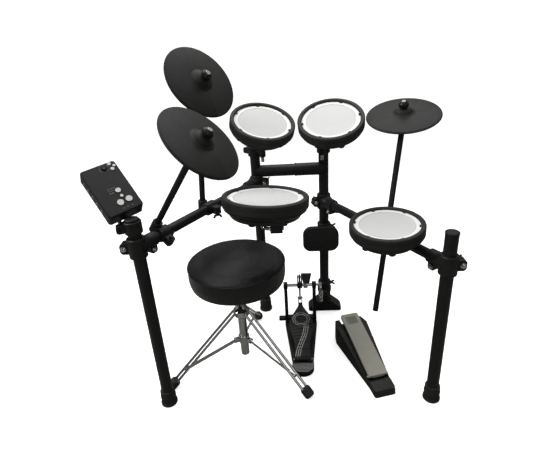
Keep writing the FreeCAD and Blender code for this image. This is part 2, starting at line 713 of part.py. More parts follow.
def l_rod_points(name):
    """The L rod's run through the holder, its bend and its far end; the last is in the rack clamp."""
    frame = pad_frame(name)
    pivot = frame.multVec(holder_at(name))
    axis = unit(frame.Rotation.multVec(Vector(1, 0, 0))) * rod_turn(name)
    start = pivot - axis * (HOLDER_W / 2 + 6)
    corner = pivot + axis * L_ROD_REACH
    if name == "snare":
        end = Vector(corner.x, POST_Y + POST_CLAMP_H * 0.75, corner.z)
    elif name == "tom_3":
        end = Vector(corner.x, corner.y, RIGHT_ARM_Z - ROD_CLAMP_H * 0.75)
    else:
        end = Vector(corner.x, corner.y, TOM_CLAMP_Z - POST_CLAMP_H)
    return start, corner, end


def l_rods():
    return group([bent_rod(list(l_rod_points(name)), L_ROD_D, L_ROD_BEND) for name in PADS])


def pad_clamp_places():
    """For each L rod: tube point and axis, tube diameter, rod point and rod axis at the rack clamp."""
    places = {}
    for name in PADS:
        start, corner, end = l_rod_points(name)
        if name == "snare":
            places[name] = (POSTS[-1] + Z * SNARE_CLAMP_Z, Z, TUBE_D, Vector(corner.x, POST_Y, corner.z),
                            Vector(0, 1, 0))
        elif name == "tom_3":
            along = arm_dir(1)
            foot = arm_point(1, 0)
            near = foot + along * (Vector(corner.x, corner.y, RIGHT_ARM_Z) - foot).dot(along)
            places[name] = (near, along, ARM_D, Vector(corner.x, corner.y, RIGHT_ARM_Z), Z)
        else:
            side = -1 if name == "tom_1" else 1
            places[name] = (POSTS[side] + Z * TOM_CLAMP_Z, Z, TUBE_D,
                            Vector(corner.x, corner.y, TOM_CLAMP_Z), Z)
    return places


def rod_clamps():
    clamps = []
    for name in CYMBALS:
        grip, beside, top, aim, side = boom(name)
        clamps.append(cross_clamp(grip, arm_dir(side), ARM_D, beside, aim, BOOM_D, ROD_CLAMP_H))
    for at, axis, tube_d, rod_at, rod_axis in pad_clamp_places().values():
        clamps.append(cross_clamp(at, axis, tube_d, rod_at, rod_axis, L_ROD_D, POST_CLAMP_H))
    return group(clamps)


def tee_clamps():
    return group([tee_clamp(*tee) for tee in TEES])


def wing_screws():
    screws = []
    for tee in TEES:
        screws += tee_screws(*tee)
    for name, flip in (("hihat", 1), ("crash", -1), ("ride", 1)):
        grip, beside, top, aim, side = boom(name)
        screws.append(clamp_screw(grip, arm_dir(side), ARM_D, beside, 40, flip))
    for at, axis, tube_d, rod_at, rod_axis in pad_clamp_places().values():
        screws.append(clamp_screw(at, axis, tube_d, rod_at, 10, 1))
    r = TUBE_D / 2 + CLAMP_WALL
    t_knob = moved(wing_screw(CLAMP_WALL - 1, 90), Placement(POSTS[1] + Vector(r, 0, STAND_T_Z),
                                                                Rotation(Z, Vector(1, 0, 0))))
    round_knob = moved(knob_screw(CLAMP_WALL + 2, 20), Placement(POSTS[1] + Vector(0, -r - 3, STAND_KNOB_Z),
                                                                 Rotation(Z, Vector(0, -1, 0))))
    kick_out = POSTS[1] + Vector(r + 3, 0, KICK_Z + KICK_BOLT_Z)
    kick = moved(wing_screw(CLAMP_WALL + 2, 30), Placement(kick_out, Rotation(Z, Vector(1, 0, 0))))
    column = moved(wing_screw((COLUMN_D - THRONE_POST_D) / 2 + 4, 0),
                   Placement(THRONE_AT + Vector(0, -COLUMN_D / 2 - 5, COLUMN_TOP - 12),
                             Rotation(Z, Vector(0, -1, 0))))
    return group(screws + [t_knob, round_knob, kick, column])


# Sound module
def module_frame():
    return facing(MODULE_AT, MODULE_NORMAL, MODULE_UP)


def module_case():
    """Moulded case with a bevelled control face, button and dial wells, and jack sockets in its left side."""
    w, l, t = MODULE_W / 2, MODULE_L / 2, MODULE_T
    case = box(-w, w, -l, l, -t, 0)
    case = case.makeFillet(9, [e for e in case.Edges if abs(e.Vertexes[0].Z - e.Vertexes[1].Z) > 1])
    rims = [e for e in case.Edges if abs(e.BoundBox.ZMax - e.BoundBox.ZMin) < 0.1]
    case = case.makeChamfer(3, rims)
    wells = [Part.makeCylinder(d / 2 + 0.3, BUTTON_HOLE, Vector(x, y, -BUTTON_HOLE)) for x, y, d in BUTTONS]
    x, y = DIAL_AT
    wells.append(Part.makeCylinder(DIAL_D / 2 + 2.5, 2, Vector(x, y, -2)))
    wells.append(Part.makeCylinder(4 + HINGE_GAP, 12, Vector(x, y, -12)))
    for i in range(5):
        wells.append(Part.makeCylinder(JACK_D / 2, 14, Vector(-w, l - 30 - 26 * i, -t / 2), Vector(1, 0, 0)))
    split = box(-w - 1, w + 1, -l - 1, l + 1, -t * 0.62, 0.8 - t * 0.62)
    core = box(1 - w, w - 1, 1 - l, l - 1, -t, 0)
    core = core.makeFillet(8.2, [e for e in core.Edges if abs(e.Vertexes[0].Z - e.Vertexes[1].Z) > 1])
    return moved(case.cut(wells + [split.cut(core)]).removeSplitter(), module_frame())


def module_pivot():
    return Vector(0, -MODULE_PIVOT_DOWN, -MODULE_T - PLATE_T - MODULE_PIVOT_BACK)


def module_plate():
    """Steel plate screwed to the case's back, with the knuckle that turns between the bracket's cheeks."""
    p = module_pivot()
    back = -MODULE_T
    plate = box(-40, 40, p.y - 24, p.y + 66, back - PLATE_T, back)
    plate = plate.makeFillet(8, [e for e in plate.Edges if abs(e.Vertexes[0].Z - e.Vertexes[1].Z) > 1])
    knuckle = Part.makeCylinder(13, 20, Vector(-10, p.y, p.z), Vector(1, 0, 0))
    web = box(-10, 10, p.y - 12, p.y + 12, p.z, back - PLATE_T)
    hole = Part.makeCylinder(SCREW_D / 2 + HINGE_GAP, 40, Vector(-20, p.y, p.z), Vector(1, 0, 0))
    return moved(fused([plate, knuckle, web]).cut(hole), module_frame())


def module_bracket():
    """Split sleeve on the left leg's top, a short arm, and two cheeks with the pivot bolt and its wing."""
    frame = module_frame()
    p = module_pivot()
    cheeks = []
    for x0, x1 in ((-18.3, -10.3), (10.3, 18.3)):
        cheeks.append(Part.makeCylinder(13, x1 - x0, Vector(x0, p.y, p.z), Vector(1, 0, 0)))
        cheeks.append(box(x0, x1, p.y - 34, p.y, p.z - 13, p.z + 5))
    cheeks.append(box(-18.3, 18.3, p.y - 40, p.y - 28, p.z - 13, p.z + 5))
    bolt = Part.makeCylinder(SCREW_D / 2, 44, Vector(-22, p.y, p.z), Vector(1, 0, 0))
    nut = Part.makeCylinder(8, 6, Vector(-24.3, p.y, p.z), Vector(1, 0, 0))
    fork = fused([moved(s, frame) for s in cheeks + [bolt, nut]])
    foot = frame.multVec(Vector(0, p.y - 34, p.z - 4))
    grip = LEGS[-1] + Z * (LEFT_LEG_TOP - POST_CLAMP_H / 2 - 1)
    ears, slit, hole = lug(grip, Vector(-1, -0.4, 0), Z, TUBE_D / 2 + ROD_CLAMP_WALL, POST_CLAMP_H * 0.6)
    arm = bar(grip, foot, 22)
    body = fused([fork, sleeve(grip, Z, TUBE_D, ROD_CLAMP_WALL, POST_CLAMP_H), ears, arm])
    reach = Z * POST_CLAMP_H
    wing = moved(wing_screw(1, 15),
                 frame.multiply(Placement(Vector(22, p.y, p.z), Rotation(Z, Vector(1, 0, 0)))))
    return fused([body.cut([bar(grip - reach, grip + reach * 4, TUBE_D + 2 * FIT + 0.1), slit, hole]), wing])


def module_dial():
    """Volume dial with a fluted skirt, a pointer notch and a shaft in the case."""
    r = DIAL_D / 2
    dial = turned([(0, -10), (4, -10), (4, 0.3), (r, 0.3), (r, 1), (r - 1.2, DIAL_PROUD - 1),
                   (r - 2.2, DIAL_PROUD),
                   (0, DIAL_PROUD)])
    dial.translate(Vector(0, 0, -2))
    notch = box(-0.7, 0.7, 2, r, DIAL_PROUD - 3, DIAL_PROUD)
    dial = dial.cut(notch)
    dial.translate(Vector(DIAL_AT[0], DIAL_AT[1], 0))
    return moved(dial, module_frame())


def module_button(x, y, d):
    r = d / 2
    button = turned([(0, BUTTON_TRAVEL + 0.5 - BUTTON_HOLE), (r, BUTTON_TRAVEL + 0.5 - BUTTON_HOLE),
                     (r, BUTTON_PROUD - 0.8), (r - 0.8, BUTTON_PROUD), (0, BUTTON_PROUD + 0.3)],
                    {3: dome(r - 0.8, BUTTON_PROUD, 0.3)})
    button.translate(Vector(x, y, 0))
    return moved(button, module_frame())


# Kick pad
def kick_centre():
    return Vector(POST_X + KICK_SHIFT, kick_face_y(), KICK_Z)


def kick_face_y():
    """The pad's face stands just clear of the beater at the end of its swing."""
    return axle_centre().y + BEATER_HEAD / 2 + STRIKE_GAP


def kick_block(front, back, w, h, crease):
    """A block between two Y planes with round corners, whose front is creased along its middle."""
    c = kick_centre()
    side = Part.makePolygon([Vector(0, back, -h / 2), Vector(0, front + crease, -h / 2), Vector(0, front, 0),
                             Vector(0, front + crease, h / 2), Vector(0, back, h / 2),
                             Vector(0, back, -h / 2)])
    block = Part.Face(side).extrude(Vector(w, 0, 0))
    block.translate(Vector(-w / 2, 0, 0))
    corners = [e for e in block.Edges if abs(e.Vertexes[0].Y - e.Vertexes[1].Y) > 1
               and abs(abs(e.CenterOfMass.z) - h / 2) < 1]
    block = block.makeFillet(h * 0.32, corners)
    block.translate(Vector(c.x, 0, c.z))
    return block


def kick_pad_face():
    """Rubber striking block with its creased front."""
    front = kick_face_y()
    block = kick_block(front, front + KICK_T - KICK_BACK_T, KICK_W, KICK_H, KICK_CREASE)
    rims = [e for e in block.Edges if e.BoundBox.YMax < front + KICK_CREASE + 0.5
            and e.BoundBox.ZMax - e.BoundBox.ZMin > 0.5]
    return block.makeFillet(4, rims)


def kick_pad_housing():
    """Backing tray behind the rubber, with a neck and a sleeve that clamps on the upright."""
    start = kick_face_y() + KICK_T - KICK_BACK_T
    tray = kick_block(start, start + KICK_BACK_T, KICK_W - 6, KICK_H - 6, 0)
    grip = POSTS[1] + Z * KICK_Z
    r = TUBE_D / 2 + CLAMP_WALL
    neck = box(POST_X - 24, POST_X + 24, start + KICK_BACK_T - 1, POST_Y, KICK_Z - 32, KICK_Z + 32)
    body = fused([tray, neck, sleeve(grip, Z, TUBE_D, CLAMP_WALL, KICK_H - 4)])
    bolt = bar(grip + Z * KICK_BOLT_Z, grip + Vector(r + 8, 0, KICK_BOLT_Z), SCREW_D + 2 * FIT)
    boss = bar(grip + Vector(r - 6, 0, KICK_BOLT_Z), grip + Vector(r + 3, 0, KICK_BOLT_Z), 20)
    reach = Z * KICK_H
    return fused([body, boss]).cut([bar(grip - reach, grip + reach, TUBE_D + 2 * FIT), bolt])


# Kick pedal
def pedal_point(x, y, z):
    return Vector(PEDAL_X + x, y, z)


def board_frame():
    """Local X across, local Y up the board from the heel hinge, local Z out of its top."""
    return Placement(pedal_point(0, HEEL_HINGE_Y, HEEL_HINGE_Z), Rotation(Vector(1, 0, 0), BOARD_RISE))


def toe_pin():
    return board_frame().multVec(Vector(0, BOARD_LEN, TOE_PIN_UP))


def axle_centre():
    pin = toe_pin()
    return Vector(PEDAL_X, pin.y - CAM_R * math.cos(math.radians(CAM_REST)), AXLE_Z)


def lever_pin(turn=0.0):
    """The cam lever's pin after the axle has turned by some degrees towards the strike."""
    a = math.radians(CAM_REST - turn)
    return axle_centre() + Vector(0, CAM_R * math.cos(a), CAM_R * math.sin(a))


def board_outline(grow=0.0):
    """The footboard's plan: narrow at the hinge, widest under the ball of the foot, with a pointed toe."""
    heel, wide, tip = BOARD_HEEL_W / 2 + grow, BOARD_WIDE / 2 + grow, BOARD_TIP + grow
    start = 10.0 - grow
    waist = Vector(heel - 1, BOARD_WIDE_AT * 0.45, 0)
    right = Part.BSplineCurve()
    right.interpolate([Vector(heel, start, 0), waist, Vector(wide, BOARD_WIDE_AT, 0),
                       Vector(wide * 0.55, (BOARD_WIDE_AT + tip) / 2 + 8, 0), Vector(7 + grow, tip, 0)])
    left = right.copy()
    left.mirror(Vector(), Vector(0, 1, 0))
    ends = [Part.LineSegment(Vector(-heel, start, 0), Vector(heel, start, 0)).toShape(), right.toShape(),
            Part.Arc(Vector(7 + grow, tip, 0), Vector(0, tip + 4, 0), Vector(-7 - grow, tip, 0)).toShape(),
            left.toShape()]
    return Part.Wire(Part.__sortEdges__(ends))


def kick_footboard():
    """Footboard with a raised border, cross ribs under the sole, hinge knuckle and toe clevis."""
    plate = Part.Face(board_outline()).extrude(Vector(0, 0, -BOARD_T))
    border = Part.Face(board_outline(-3)).extrude(Vector(0, 0, 1.6))
    border = border.cut(Part.Face(board_outline(-5.5)).extrude(Vector(0, 0, 1.6)))
    field = Part.Face(board_outline(-5.5)).extrude(Vector(0, 0, 1.6))
    ribs = []
    for i in range(13):
        y = 36.0 + 18 * i
        arch = [Vector(-60, y, 0), Vector(0, y + 20, 0), Vector(60, y, 0)]
        lower = [p - Vector(0, 3, 0) for p in arch]
        edges = [Part.Arc(*arch).toShape(), Part.LineSegment(arch[2], lower[2]).toShape(),
                 Part.Arc(lower[2], lower[1], lower[0]).toShape(),
                 Part.LineSegment(lower[0], arch[0]).toShape()]
        ribs.append(Part.Face(Part.Wire(edges)).extrude(Vector(0, 0, 1.6)).common(field))
    knuckle = Part.makeCylinder(7, BOARD_HEEL_W - 28, Vector(14 - BOARD_HEEL_W / 2, 0, 0), Vector(1, 0, 0))
    bridge = box(14 - BOARD_HEEL_W / 2, BOARD_HEEL_W / 2 - 14, 0, 16, -BOARD_T, 0)
    ears = []
    for x in (-9.5, 5.5):
        ears.append(box(x, x + 4, BOARD_TIP - 14, BOARD_LEN, -BOARD_T, TOE_PIN_UP))
        ears.append(Part.makeCylinder(9, 4, Vector(x, BOARD_LEN, TOE_PIN_UP), Vector(1, 0, 0)))
    ears.append(box(-9.5, 9.5, BOARD_TIP - 24, BOARD_LEN - 14, -BOARD_T, 0))
    pin = Part.makeCylinder(LINK_PIN_D / 2, 23, Vector(-11.5, BOARD_LEN, TOE_PIN_UP), Vector(1, 0, 0))
    hole = Part.makeCylinder(HINGE_PIN_D / 2 + HINGE_GAP, BOARD_WIDE, Vector(-BOARD_WIDE / 2, 0, 0),
                             Vector(1, 0, 0))
    return moved(fused([plate, border, knuckle, bridge, pin] + ribs + ears).cut(hole), board_frame())


def kick_link():
    """Drive link from the footboard's toe pin up to the cam lever, with an open slotted eye at its top."""
    low, high = toe_pin(), lever_pin()
    wide = 8.0
    x = Vector(wide / 2, 0, 0)
    eyes = [bar(low - x, low + x, 18), bar(high - x, high + x, 24), bar(low, high, wide)]
    holes = [bar(low - x * 2, low + x * 2, LINK_PIN_D + 2 * HINGE_GAP),
             bar(high - x * 2, high + x * 2, LINK_PIN_D + 10)]
    return fused(eyes).cut(holes)


def kick_base():
    """Steel base plate that widens to the uprights, the ribbed round heel plate and the front cross foot."""
    c = axle_centre()
    toe, heel = BASE_TOE_W / 2, HEEL_W / 2 - 4
    front, back = c.y + 34, HEEL_END_Y + HEEL_W / 2
    plate = Part.makePolygon([pedal_point(-heel, back, 0), pedal_point(heel, back, 0),
                              pedal_point(toe, c.y - 40, 0),
                              pedal_point(toe, front, 0), pedal_point(-toe, front, 0),
                              pedal_point(-toe, c.y - 40, 0), pedal_point(-heel, back, 0)])
    plate = Part.Face(plate).extrude(Vector(0, 0, BASE_T))
    r = HEEL_W / 2
    end = HEEL_HINGE_Y - 9
    arc = Part.Arc(pedal_point(-r, HEEL_END_Y + r, 0), pedal_point(0, HEEL_END_Y, 0),
                   pedal_point(r, HEEL_END_Y + r, 0))
    sides = [arc.toShape(),
             Part.LineSegment(pedal_point(r, HEEL_END_Y + r, 0), pedal_point(r, end, 0)).toShape(),
             Part.LineSegment(pedal_point(r, end, 0), pedal_point(-r, end, 0)).toShape(),
             Part.LineSegment(pedal_point(-r, end, 0), pedal_point(-r, HEEL_END_Y + r, 0)).toShape()]
    outline = Part.Face(Part.Wire(sides))
    heel_plate = outline.extrude(Vector(0, 0, HEEL_H))
    rib_space = outline.extrude(Vector(0, 0, HEEL_H + 1.6))
    ribs = []
    count = 8
    for i in range(count):
        y = HEEL_END_Y + 5 + i * (end - HEEL_END_Y - 8) / (count - 1)
        ribs.append(box(PEDAL_X - r + 4, PEDAL_X + r - 4, y - 1.6, y + 1.6, HEEL_H - 1,
                        HEEL_H + 1.6).common(rib_space))
    lugs = []
    for x in (-BOARD_HEEL_W / 2, BOARD_HEEL_W / 2 - 13.6):
        lugs.append(bar(pedal_point(x, HEEL_HINGE_Y, HEEL_HINGE_Z),
                        pedal_point(x + 13.6, HEEL_HINGE_Y, HEEL_HINGE_Z), 16))
        lugs.append(box(PEDAL_X + x, PEDAL_X + x + 13.6, end - 4, HEEL_HINGE_Y + 6, 2, HEEL_HINGE_Z))
    foot = box(PEDAL_X - 98, PEDAL_X + toe, c.y - 4, c.y + 16, 0, 14)
    foot = foot.makeFillet(4, foot.Edges[4:8])
    pin = bar(pedal_point(-60, HEEL_HINGE_Y, HEEL_HINGE_Z), pedal_point(60, HEEL_HINGE_Y, HEEL_HINGE_Z),
              HINGE_PIN_D + 2 * FIT)
    return fused([plate, heel_plate, foot] + ribs + lugs).cut(pin)


def kick_uprights():
    """Two tapered uprights with bearing bosses for the axle; the right one carries the spring's lower eye."""
    c = axle_centre()
    parts = []
    for side in (-1, 1):
        x = side * UPRIGHT_X - UPRIGHT_T / 2
        lean = Part.makePolygon([pedal_point(x, c.y - 30, BASE_T), pedal_point(x, c.y - 12, c.z),
                                 pedal_point(x, c.y + 12, c.z),
                                 pedal_point(x, c.y + 30, BASE_T), pedal_point(x, c.y - 30, BASE_T)])
        post = Part.Face(lean).extrude(Vector(UPRIGHT_T, 0, 0))
        boss = bar(pedal_point(x - 2, c.y, c.z), pedal_point(x + UPRIGHT_T + 2, c.y, c.z), 30)
        notch = box(PEDAL_X + x - 1, PEDAL_X + x + UPRIGHT_T + 1, c.y - 7, c.y + 7, 34, c.z - 44)
        notch = notch.makeFillet(6.5, [e for e in notch.Edges if abs(e.Vertexes[0].X - e.Vertexes[1].X) > 1])
        cross = box(PEDAL_X - 98, PEDAL_X + BASE_TOE_W / 2, c.y - 4, c.y + 16, 0, 14)
        solids = [post, boss]
        if side > 0:
            low = spring_ends()[0]
            face = PEDAL_X + x + UPRIGHT_T
            solids.append(box(face - 4, face + 6, low.y - 5, c.y, low.z - 9, low.z + 1))
            solids.append(bar(Vector(face, low.y, low.z - 4), low - Z * 4 + Vector(8, 0, 0), 8))
        bore = bar(pedal_point(x - 9, c.y, c.z), pedal_point(x + UPRIGHT_T + 9, c.y, c.z),
                   JOURNAL_D + 2 * HINGE_GAP)
        parts.append(fused(solids).cut([notch, bore, cross]))
    return group(parts)


def spring_ends():
    """Lower and upper ends of the return spring's axis, outside the right upright."""
    c = axle_centre()
    x = UPRIGHT_X + UPRIGHT_T / 2 + 20
    top = Vector(PEDAL_X + x, c.y - ROCKER_R, c.z - 12)
    return top - Z * SPRING_LEN, top


def kick_axle():
    """Hexagonal axle with its journals, cam lever, beater hub and the rocker that pulls the spring."""
    c = axle_centre()
    inner = UPRIGHT_X - UPRIGHT_T / 2 - 3
    hexagon = [Vector(c.x - inner, c.y + AXLE_FLATS / math.sqrt(3) * math.cos(math.radians(60 * i)),
                      c.z + AXLE_FLATS / math.sqrt(3) * math.sin(math.radians(60 * i))) for i in range(7)]
    shaft = Part.Face(Part.makePolygon(hexagon)).extrude(Vector(2 * inner, 0, 0))
    low, top = spring_ends()
    journal = bar(c - Vector(UPRIGHT_X + UPRIGHT_T / 2 + 2, 0, 0), Vector(top.x + 5, c.y, c.z), JOURNAL_D)
    pin = lever_pin()
    solids = [shaft, journal, bar(c - Vector(11, 0, 0), c + Vector(11, 0, 0), 30)]
    crown = c + Vector(0, 4, 28)
    for x0, x1 in ((-11, -6), (6, 11)):
        for centre, d in ((pin, 18), (crown, 24)):
            a, b = Vector(c.x + x0, centre.y, centre.z), Vector(c.x + x1, centre.y, centre.z)
            solids.append(bar(a, b, d))
            solids.append(web(Vector(c.x + x0, c.y, c.z), 30, a, d, x1 - x0))
    solids.append(bar(pin - Vector(12, 0, 0), pin + Vector(12, 0, 0), LINK_PIN_D))
    solids.append(bar(c + Vector(BEATER_X - 9, 0, 0), c + Vector(BEATER_X + 9, 0, 0), 28))
    rocker = Vector(top.x - 4, top.y, c.z)
    solids.append(bar(Vector(top.x - 4, c.y, c.z), Vector(top.x + 4, c.y, c.z), 18))
    solids.append(web(Vector(top.x - 4, c.y, c.z), 18, rocker, 12, 8))
    solids.append(bar(rocker, rocker + Vector(8, 0, 0), 12))
    solids.append(bar(top + Z * 2.4, Vector(top.x, top.y, c.z), 5))
    slot = beater_frame().multVec(Vector(0, 0, -10)), beater_frame().multVec(Vector(0, 0, 20))
    return fused(solids).cut(bar(slot[0], slot[1], BEATER_ROD_D + 2 * FIT))


def web(a, da, b, db, thick):
    """A flat arm along X thickness joining two round ends at a and b of diameters da and db."""
    along = unit(b - a)
    across = along.cross(Vector(1, 0, 0))
    points = [a + across * da / 2, b + across * db / 2, b - across * db / 2, a - across * da / 2,
              a + across * da / 2]
    return Part.Face(Part.makePolygon(points)).extrude(Vector(thick, 0, 0))


def beater_frame():
    """Local Z along the beater rod, which rests leaning back; local Y is the way it strikes."""
    c = axle_centre() + Vector(BEATER_X, 0, 0)
    return Placement(c, Rotation(Vector(1, 0, 0), BEATER_SWING))


def beater_rod():
    return moved(bar(Vector(0, 0, -9), Vector(0, 0, BEATER_REACH + 26), BEATER_ROD_D), beater_frame())


def beater_head():
    """Wedge-shaped beater with a broad striking face, rounded at its corners."""
    h, face, back = BEATER_HEAD, BEATER_HEAD * 0.5, BEATER_HEAD * 0.31
    plan = Part.makePolygon([Vector(-face, 20, 0), Vector(face, 20, 0), Vector(face, 15, 0),
                             Vector(back, -17, 0),
                             Vector(-back, -17, 0), Vector(-face, 15, 0), Vector(-face, 20, 0)])
    head = Part.Face(plan).extrude(Vector(0, 0, h))
    head = head.makeFillet(3, [e for e in head.Edges if e.BoundBox.ZMax - e.BoundBox.ZMin < 1])
    head.translate(Vector(0, 0, BEATER_REACH))
    bore = Part.makeCylinder(BEATER_ROD_D / 2 + FIT, 26 + FIT, Vector(0, 0, BEATER_REACH))
    return moved(head.cut(bore), beater_frame())


def biarc(p, tp, q, tq):
    """Two tangent arcs from p along tp to q along tq."""
    v = q - p
    t = tp + tq
    k = 1 - tp.dot(tq)
    d = (-v.dot(t) + math.sqrt(v.dot(t) ** 2 + 2 * k * v.dot(v))) / (2 * k)
    joint = (p + q + (tp - tq) * d) * 0.5
    arcs = []
    for a, ta, b in ((p, tp, joint), (q, tq * -1, joint)):
        chord = b - a
        bend = ta.getAngle(chord)
        middle = a + unit(unit(ta) + unit(chord)) * (chord.Length / (2 * math.cos(bend / 2)))
        arcs.append((a, middle, b))
    (a, m, b), (e, n, _) = arcs
    return [Part.Arc(a, m, b).toShape(), Part.Arc(b, n, e).toShape()]


def return_spring():
    """Coil spring as one unbroken wire, with a straight tail at each end, and its least gap to itself."""
    low, top = spring_ends()
    r = (SPRING_D - SPRING_WIRE) / 2
    tail = SPRING_WIRE
    rise = (SPRING_LEN - SPRING_WIRE) / SPRING_TURNS

    def at(turn):
        a = 2 * math.pi * turn
        return Vector(r * math.cos(a), r * math.sin(a), SPRING_WIRE / 2 + rise * turn)

    def heading(turn):
        a = 2 * math.pi * turn
        return unit(Vector(-r * math.sin(a), r * math.cos(a), rise / (2 * math.pi)))

    steps = SPRING_TURNS * 4
    edges = [Part.LineSegment(at(0) - heading(0) * tail, at(0)).toShape()]
    for i in range(steps):
        s, e = i / 4, (i + 1) / 4
        edges += biarc(at(s), heading(s), at(e), heading(e))
    edges.append(Part.LineSegment(at(SPRING_TURNS),
                                  at(SPRING_TURNS) + heading(SPRING_TURNS) * tail).toShape())
    path = Part.Wire(edges)
    start = at(0) - heading(0) * tail
    section = Part.Wire(Part.makeCircle(SPRING_WIRE / 2, start, heading(0)))
    coil = path.makePipeShell([section], True, False)
    samples = [at(i / 24) for i in range(24 * SPRING_TURNS + 1)]
    gap = min((p - q).Length for i, p in enumerate(samples) for q in samples[i + 12:]) - SPRING_WIRE
    print("return spring least gap to itself", round(gap, 2), "mm")
    return moved(coil, Placement(low, Rotation()))


# Hi-hat control pedal
def hat_frame():
    return Placement(HAT_HEEL_AT, Rotation(Z, HAT_YAW))


def hat_board_frame():
    hinge = Placement(Vector(0, HAT_HINGE_Y, HAT_HINGE_Z), Rotation(Vector(1, 0, 0), HAT_RISE))
    return hat_frame().multiply(hinge)


def hat_board():
    """Flat footboard with rounded toe corners, a grip recess and a hinge knuckle below its heel."""
    w, l, t = HAT_BOARD_W / 2, HAT_BOARD_L, HAT_BOARD_T
    plate = box(-w, w, -6, l, 0, t)
    plate = plate.makeFillet(8, [e for e in plate.Edges if abs(e.Vertexes[0].Z - e.Vertexes[1].Z) > 1
                                 and e.CenterOfMass.y > l / 2])
    recess = box(-w * 0.62, w * 0.62, l - 52, l - 16, t - 1.5, t)
    knuckle = Part.makeCylinder(8, 2 * w - 28, Vector(14 - w, 0, 0), Vector(1, 0, 0))
    hole = Part.makeCylinder(HINGE_PIN_D / 2 + HINGE_GAP, 2 * w, Vector(-w, 0, 0), Vector(1, 0, 0))
    return moved(fused([plate, knuckle]).cut([recess, hole]), hat_board_frame())


def hat_base():
    """Wedge base: a trough whose side walls flank the board and rise to a toe wall."""
    toe, heel, end = HAT_TOE_W / 2, HAT_HEEL_W / 2, HAT_LEN
    w = HAT_BOARD_W / 2 + HAT_SIDE_GAP
    start = HAT_HINGE_Y - 22
    plan = Part.makePolygon([Vector(-heel, start, 0), Vector(heel, start, 0), Vector(toe, end - 40, 0),
                             Vector(toe - 10, end, 0), Vector(10 - toe, end, 0), Vector(-toe, end - 40, 0),
                             Vector(-heel, start, 0)])
    block = Part.Face(plan).extrude(Vector(0, 0, HAT_WALL_TOE))
    slope = Part.makePolygon([Vector(-toe - 5, start - 1, 24), Vector(-toe - 5, end - 46, HAT_WALL_TOE),
                              Vector(-toe - 5, start - 1, HAT_WALL_TOE + 1), Vector(-toe - 5, start - 1, 24)])
    block = block.cut(Part.Face(slope).extrude(Vector(2 * toe + 10, 0, 0)))
    floor = Part.makePolygon([Vector(-w, HAT_HINGE_Y - 13, 7), Vector(-w, end - 12, 7),
                              Vector(-w, end - 12, 120),
                              Vector(-w, HAT_HINGE_Y - 13, 120), Vector(-w, HAT_HINGE_Y - 13, 7)])
    trough = Part.Face(floor).extrude(Vector(2 * w, 0, 0))
    landing = box(-w, w, end - 13, end + 1, HAT_TOE_STOP, 2 * HAT_WALL_TOE)
    lugs = []
    for x0, x1 in ((-w, 13.6 - HAT_BOARD_W / 2), (HAT_BOARD_W / 2 - 13.6, w)):
        lugs.append(Part.makeCylinder(8, x1 - x0, Vector(x0, HAT_HINGE_Y, HAT_HINGE_Z - 0), Vector(1, 0, 0)))
        lugs.append(box(x0, x1, HAT_HINGE_Y - 8, HAT_HINGE_Y + 8, 5, HAT_HINGE_Z))
    cut_lugs = fused(lugs).cut(hat_sweep())
    pin = Part.makeCylinder(HINGE_PIN_D / 2 + FIT, 2 * w + 8, Vector(-w - 4, HAT_HINGE_Y, HAT_HINGE_Z),
                            Vector(1, 0, 0))
    return moved(fused([block.cut([trough, landing]), cut_lugs]).cut(pin), hat_frame())


def hat_sweep():
    """The space that the board's underside passes through over its travel, near the hinge."""
    w = HAT_BOARD_W / 2 + HAT_SIDE_GAP
    spaces = []
    for turn in (HAT_RISE, HAT_RISE - HAT_TRAVEL - 1):
        space = box(-w - 1, w + 1, -8, 60, -0.3, 40)
        space.Placement = Placement(Vector(0, HAT_HINGE_Y, HAT_HINGE_Z), Rotation(Vector(1, 0, 0), turn))
        spaces.append(space)
    return fused(spaces)


def hat_heel():
    """Rubber heel block that stops the pedal creeping."""
    w, end = HAT_HEEL_W / 2, HAT_HINGE_Y - 22
    side = Part.makePolygon([Vector(-w, -16, 0), Vector(-w, end, 0), Vector(-w, end, 30), Vector(-w, -8, 24),
                             Vector(-w, -16, 0)])
    block = Part.Face(side).extrude(Vector(2 * w, 0, 0))
    block = block.makeFillet(7, [e for e in block.Edges if e.CenterOfMass.y < 0 and e.CenterOfMass.z > 5
                                 and abs(e.CenterOfMass.x) > 1])
    return moved(block, hat_frame())


def pedal_pins():
    """Hinge pins of the two footboards."""
    kick = bar(pedal_point(-BOARD_HEEL_W / 2 - 3, HEEL_HINGE_Y, HEEL_HINGE_Z),
               pedal_point(BOARD_HEEL_W / 2 + 3, HEEL_HINGE_Y, HEEL_HINGE_Z), HINGE_PIN_D)
    w = HAT_BOARD_W / 2 + HAT_SIDE_GAP
    hat = bar(Vector(-w - 3, HAT_HINGE_Y, HAT_HINGE_Z), Vector(w + 3, HAT_HINGE_Y, HAT_HINGE_Z), HINGE_PIN_D)
    return group([kick, moved(hat, hat_frame())])


# Throne
def throne_leg_ends(i):
    """Hub end and foot end of a leg's middle line."""
    a = math.radians(THRONE_TURN + 120 * i)
    out = Vector(math.cos(a), math.sin(a), 0)
    return THRONE_AT + out * 28 + Z * HUB_Z, THRONE_AT + out * THRONE_FOOT_R + Z * 20, out


def throne_foot(i):
    """Rubber block over the ends of a leg's two bars, flat where it meets the floor."""
    top, foot, out = throne_leg_ends(i)
    along = unit(foot - top)
    block = turned([(0, -18), (17, -16), (19, -10), (19, 14), (16, 20), (0, 20)])
    block = moved(block, Placement(foot, Rotation(Z, along)))
    floor = Part.makeBox(200, 200, 100, foot + Vector(-100, -100, -20 - 100))
    holes = [bar(a + along * 0, b + along * FIT, LEG_BAR_D + 2 * FIT) for a, b in leg_bars(i)]
    return block.cut([floor] + holes)


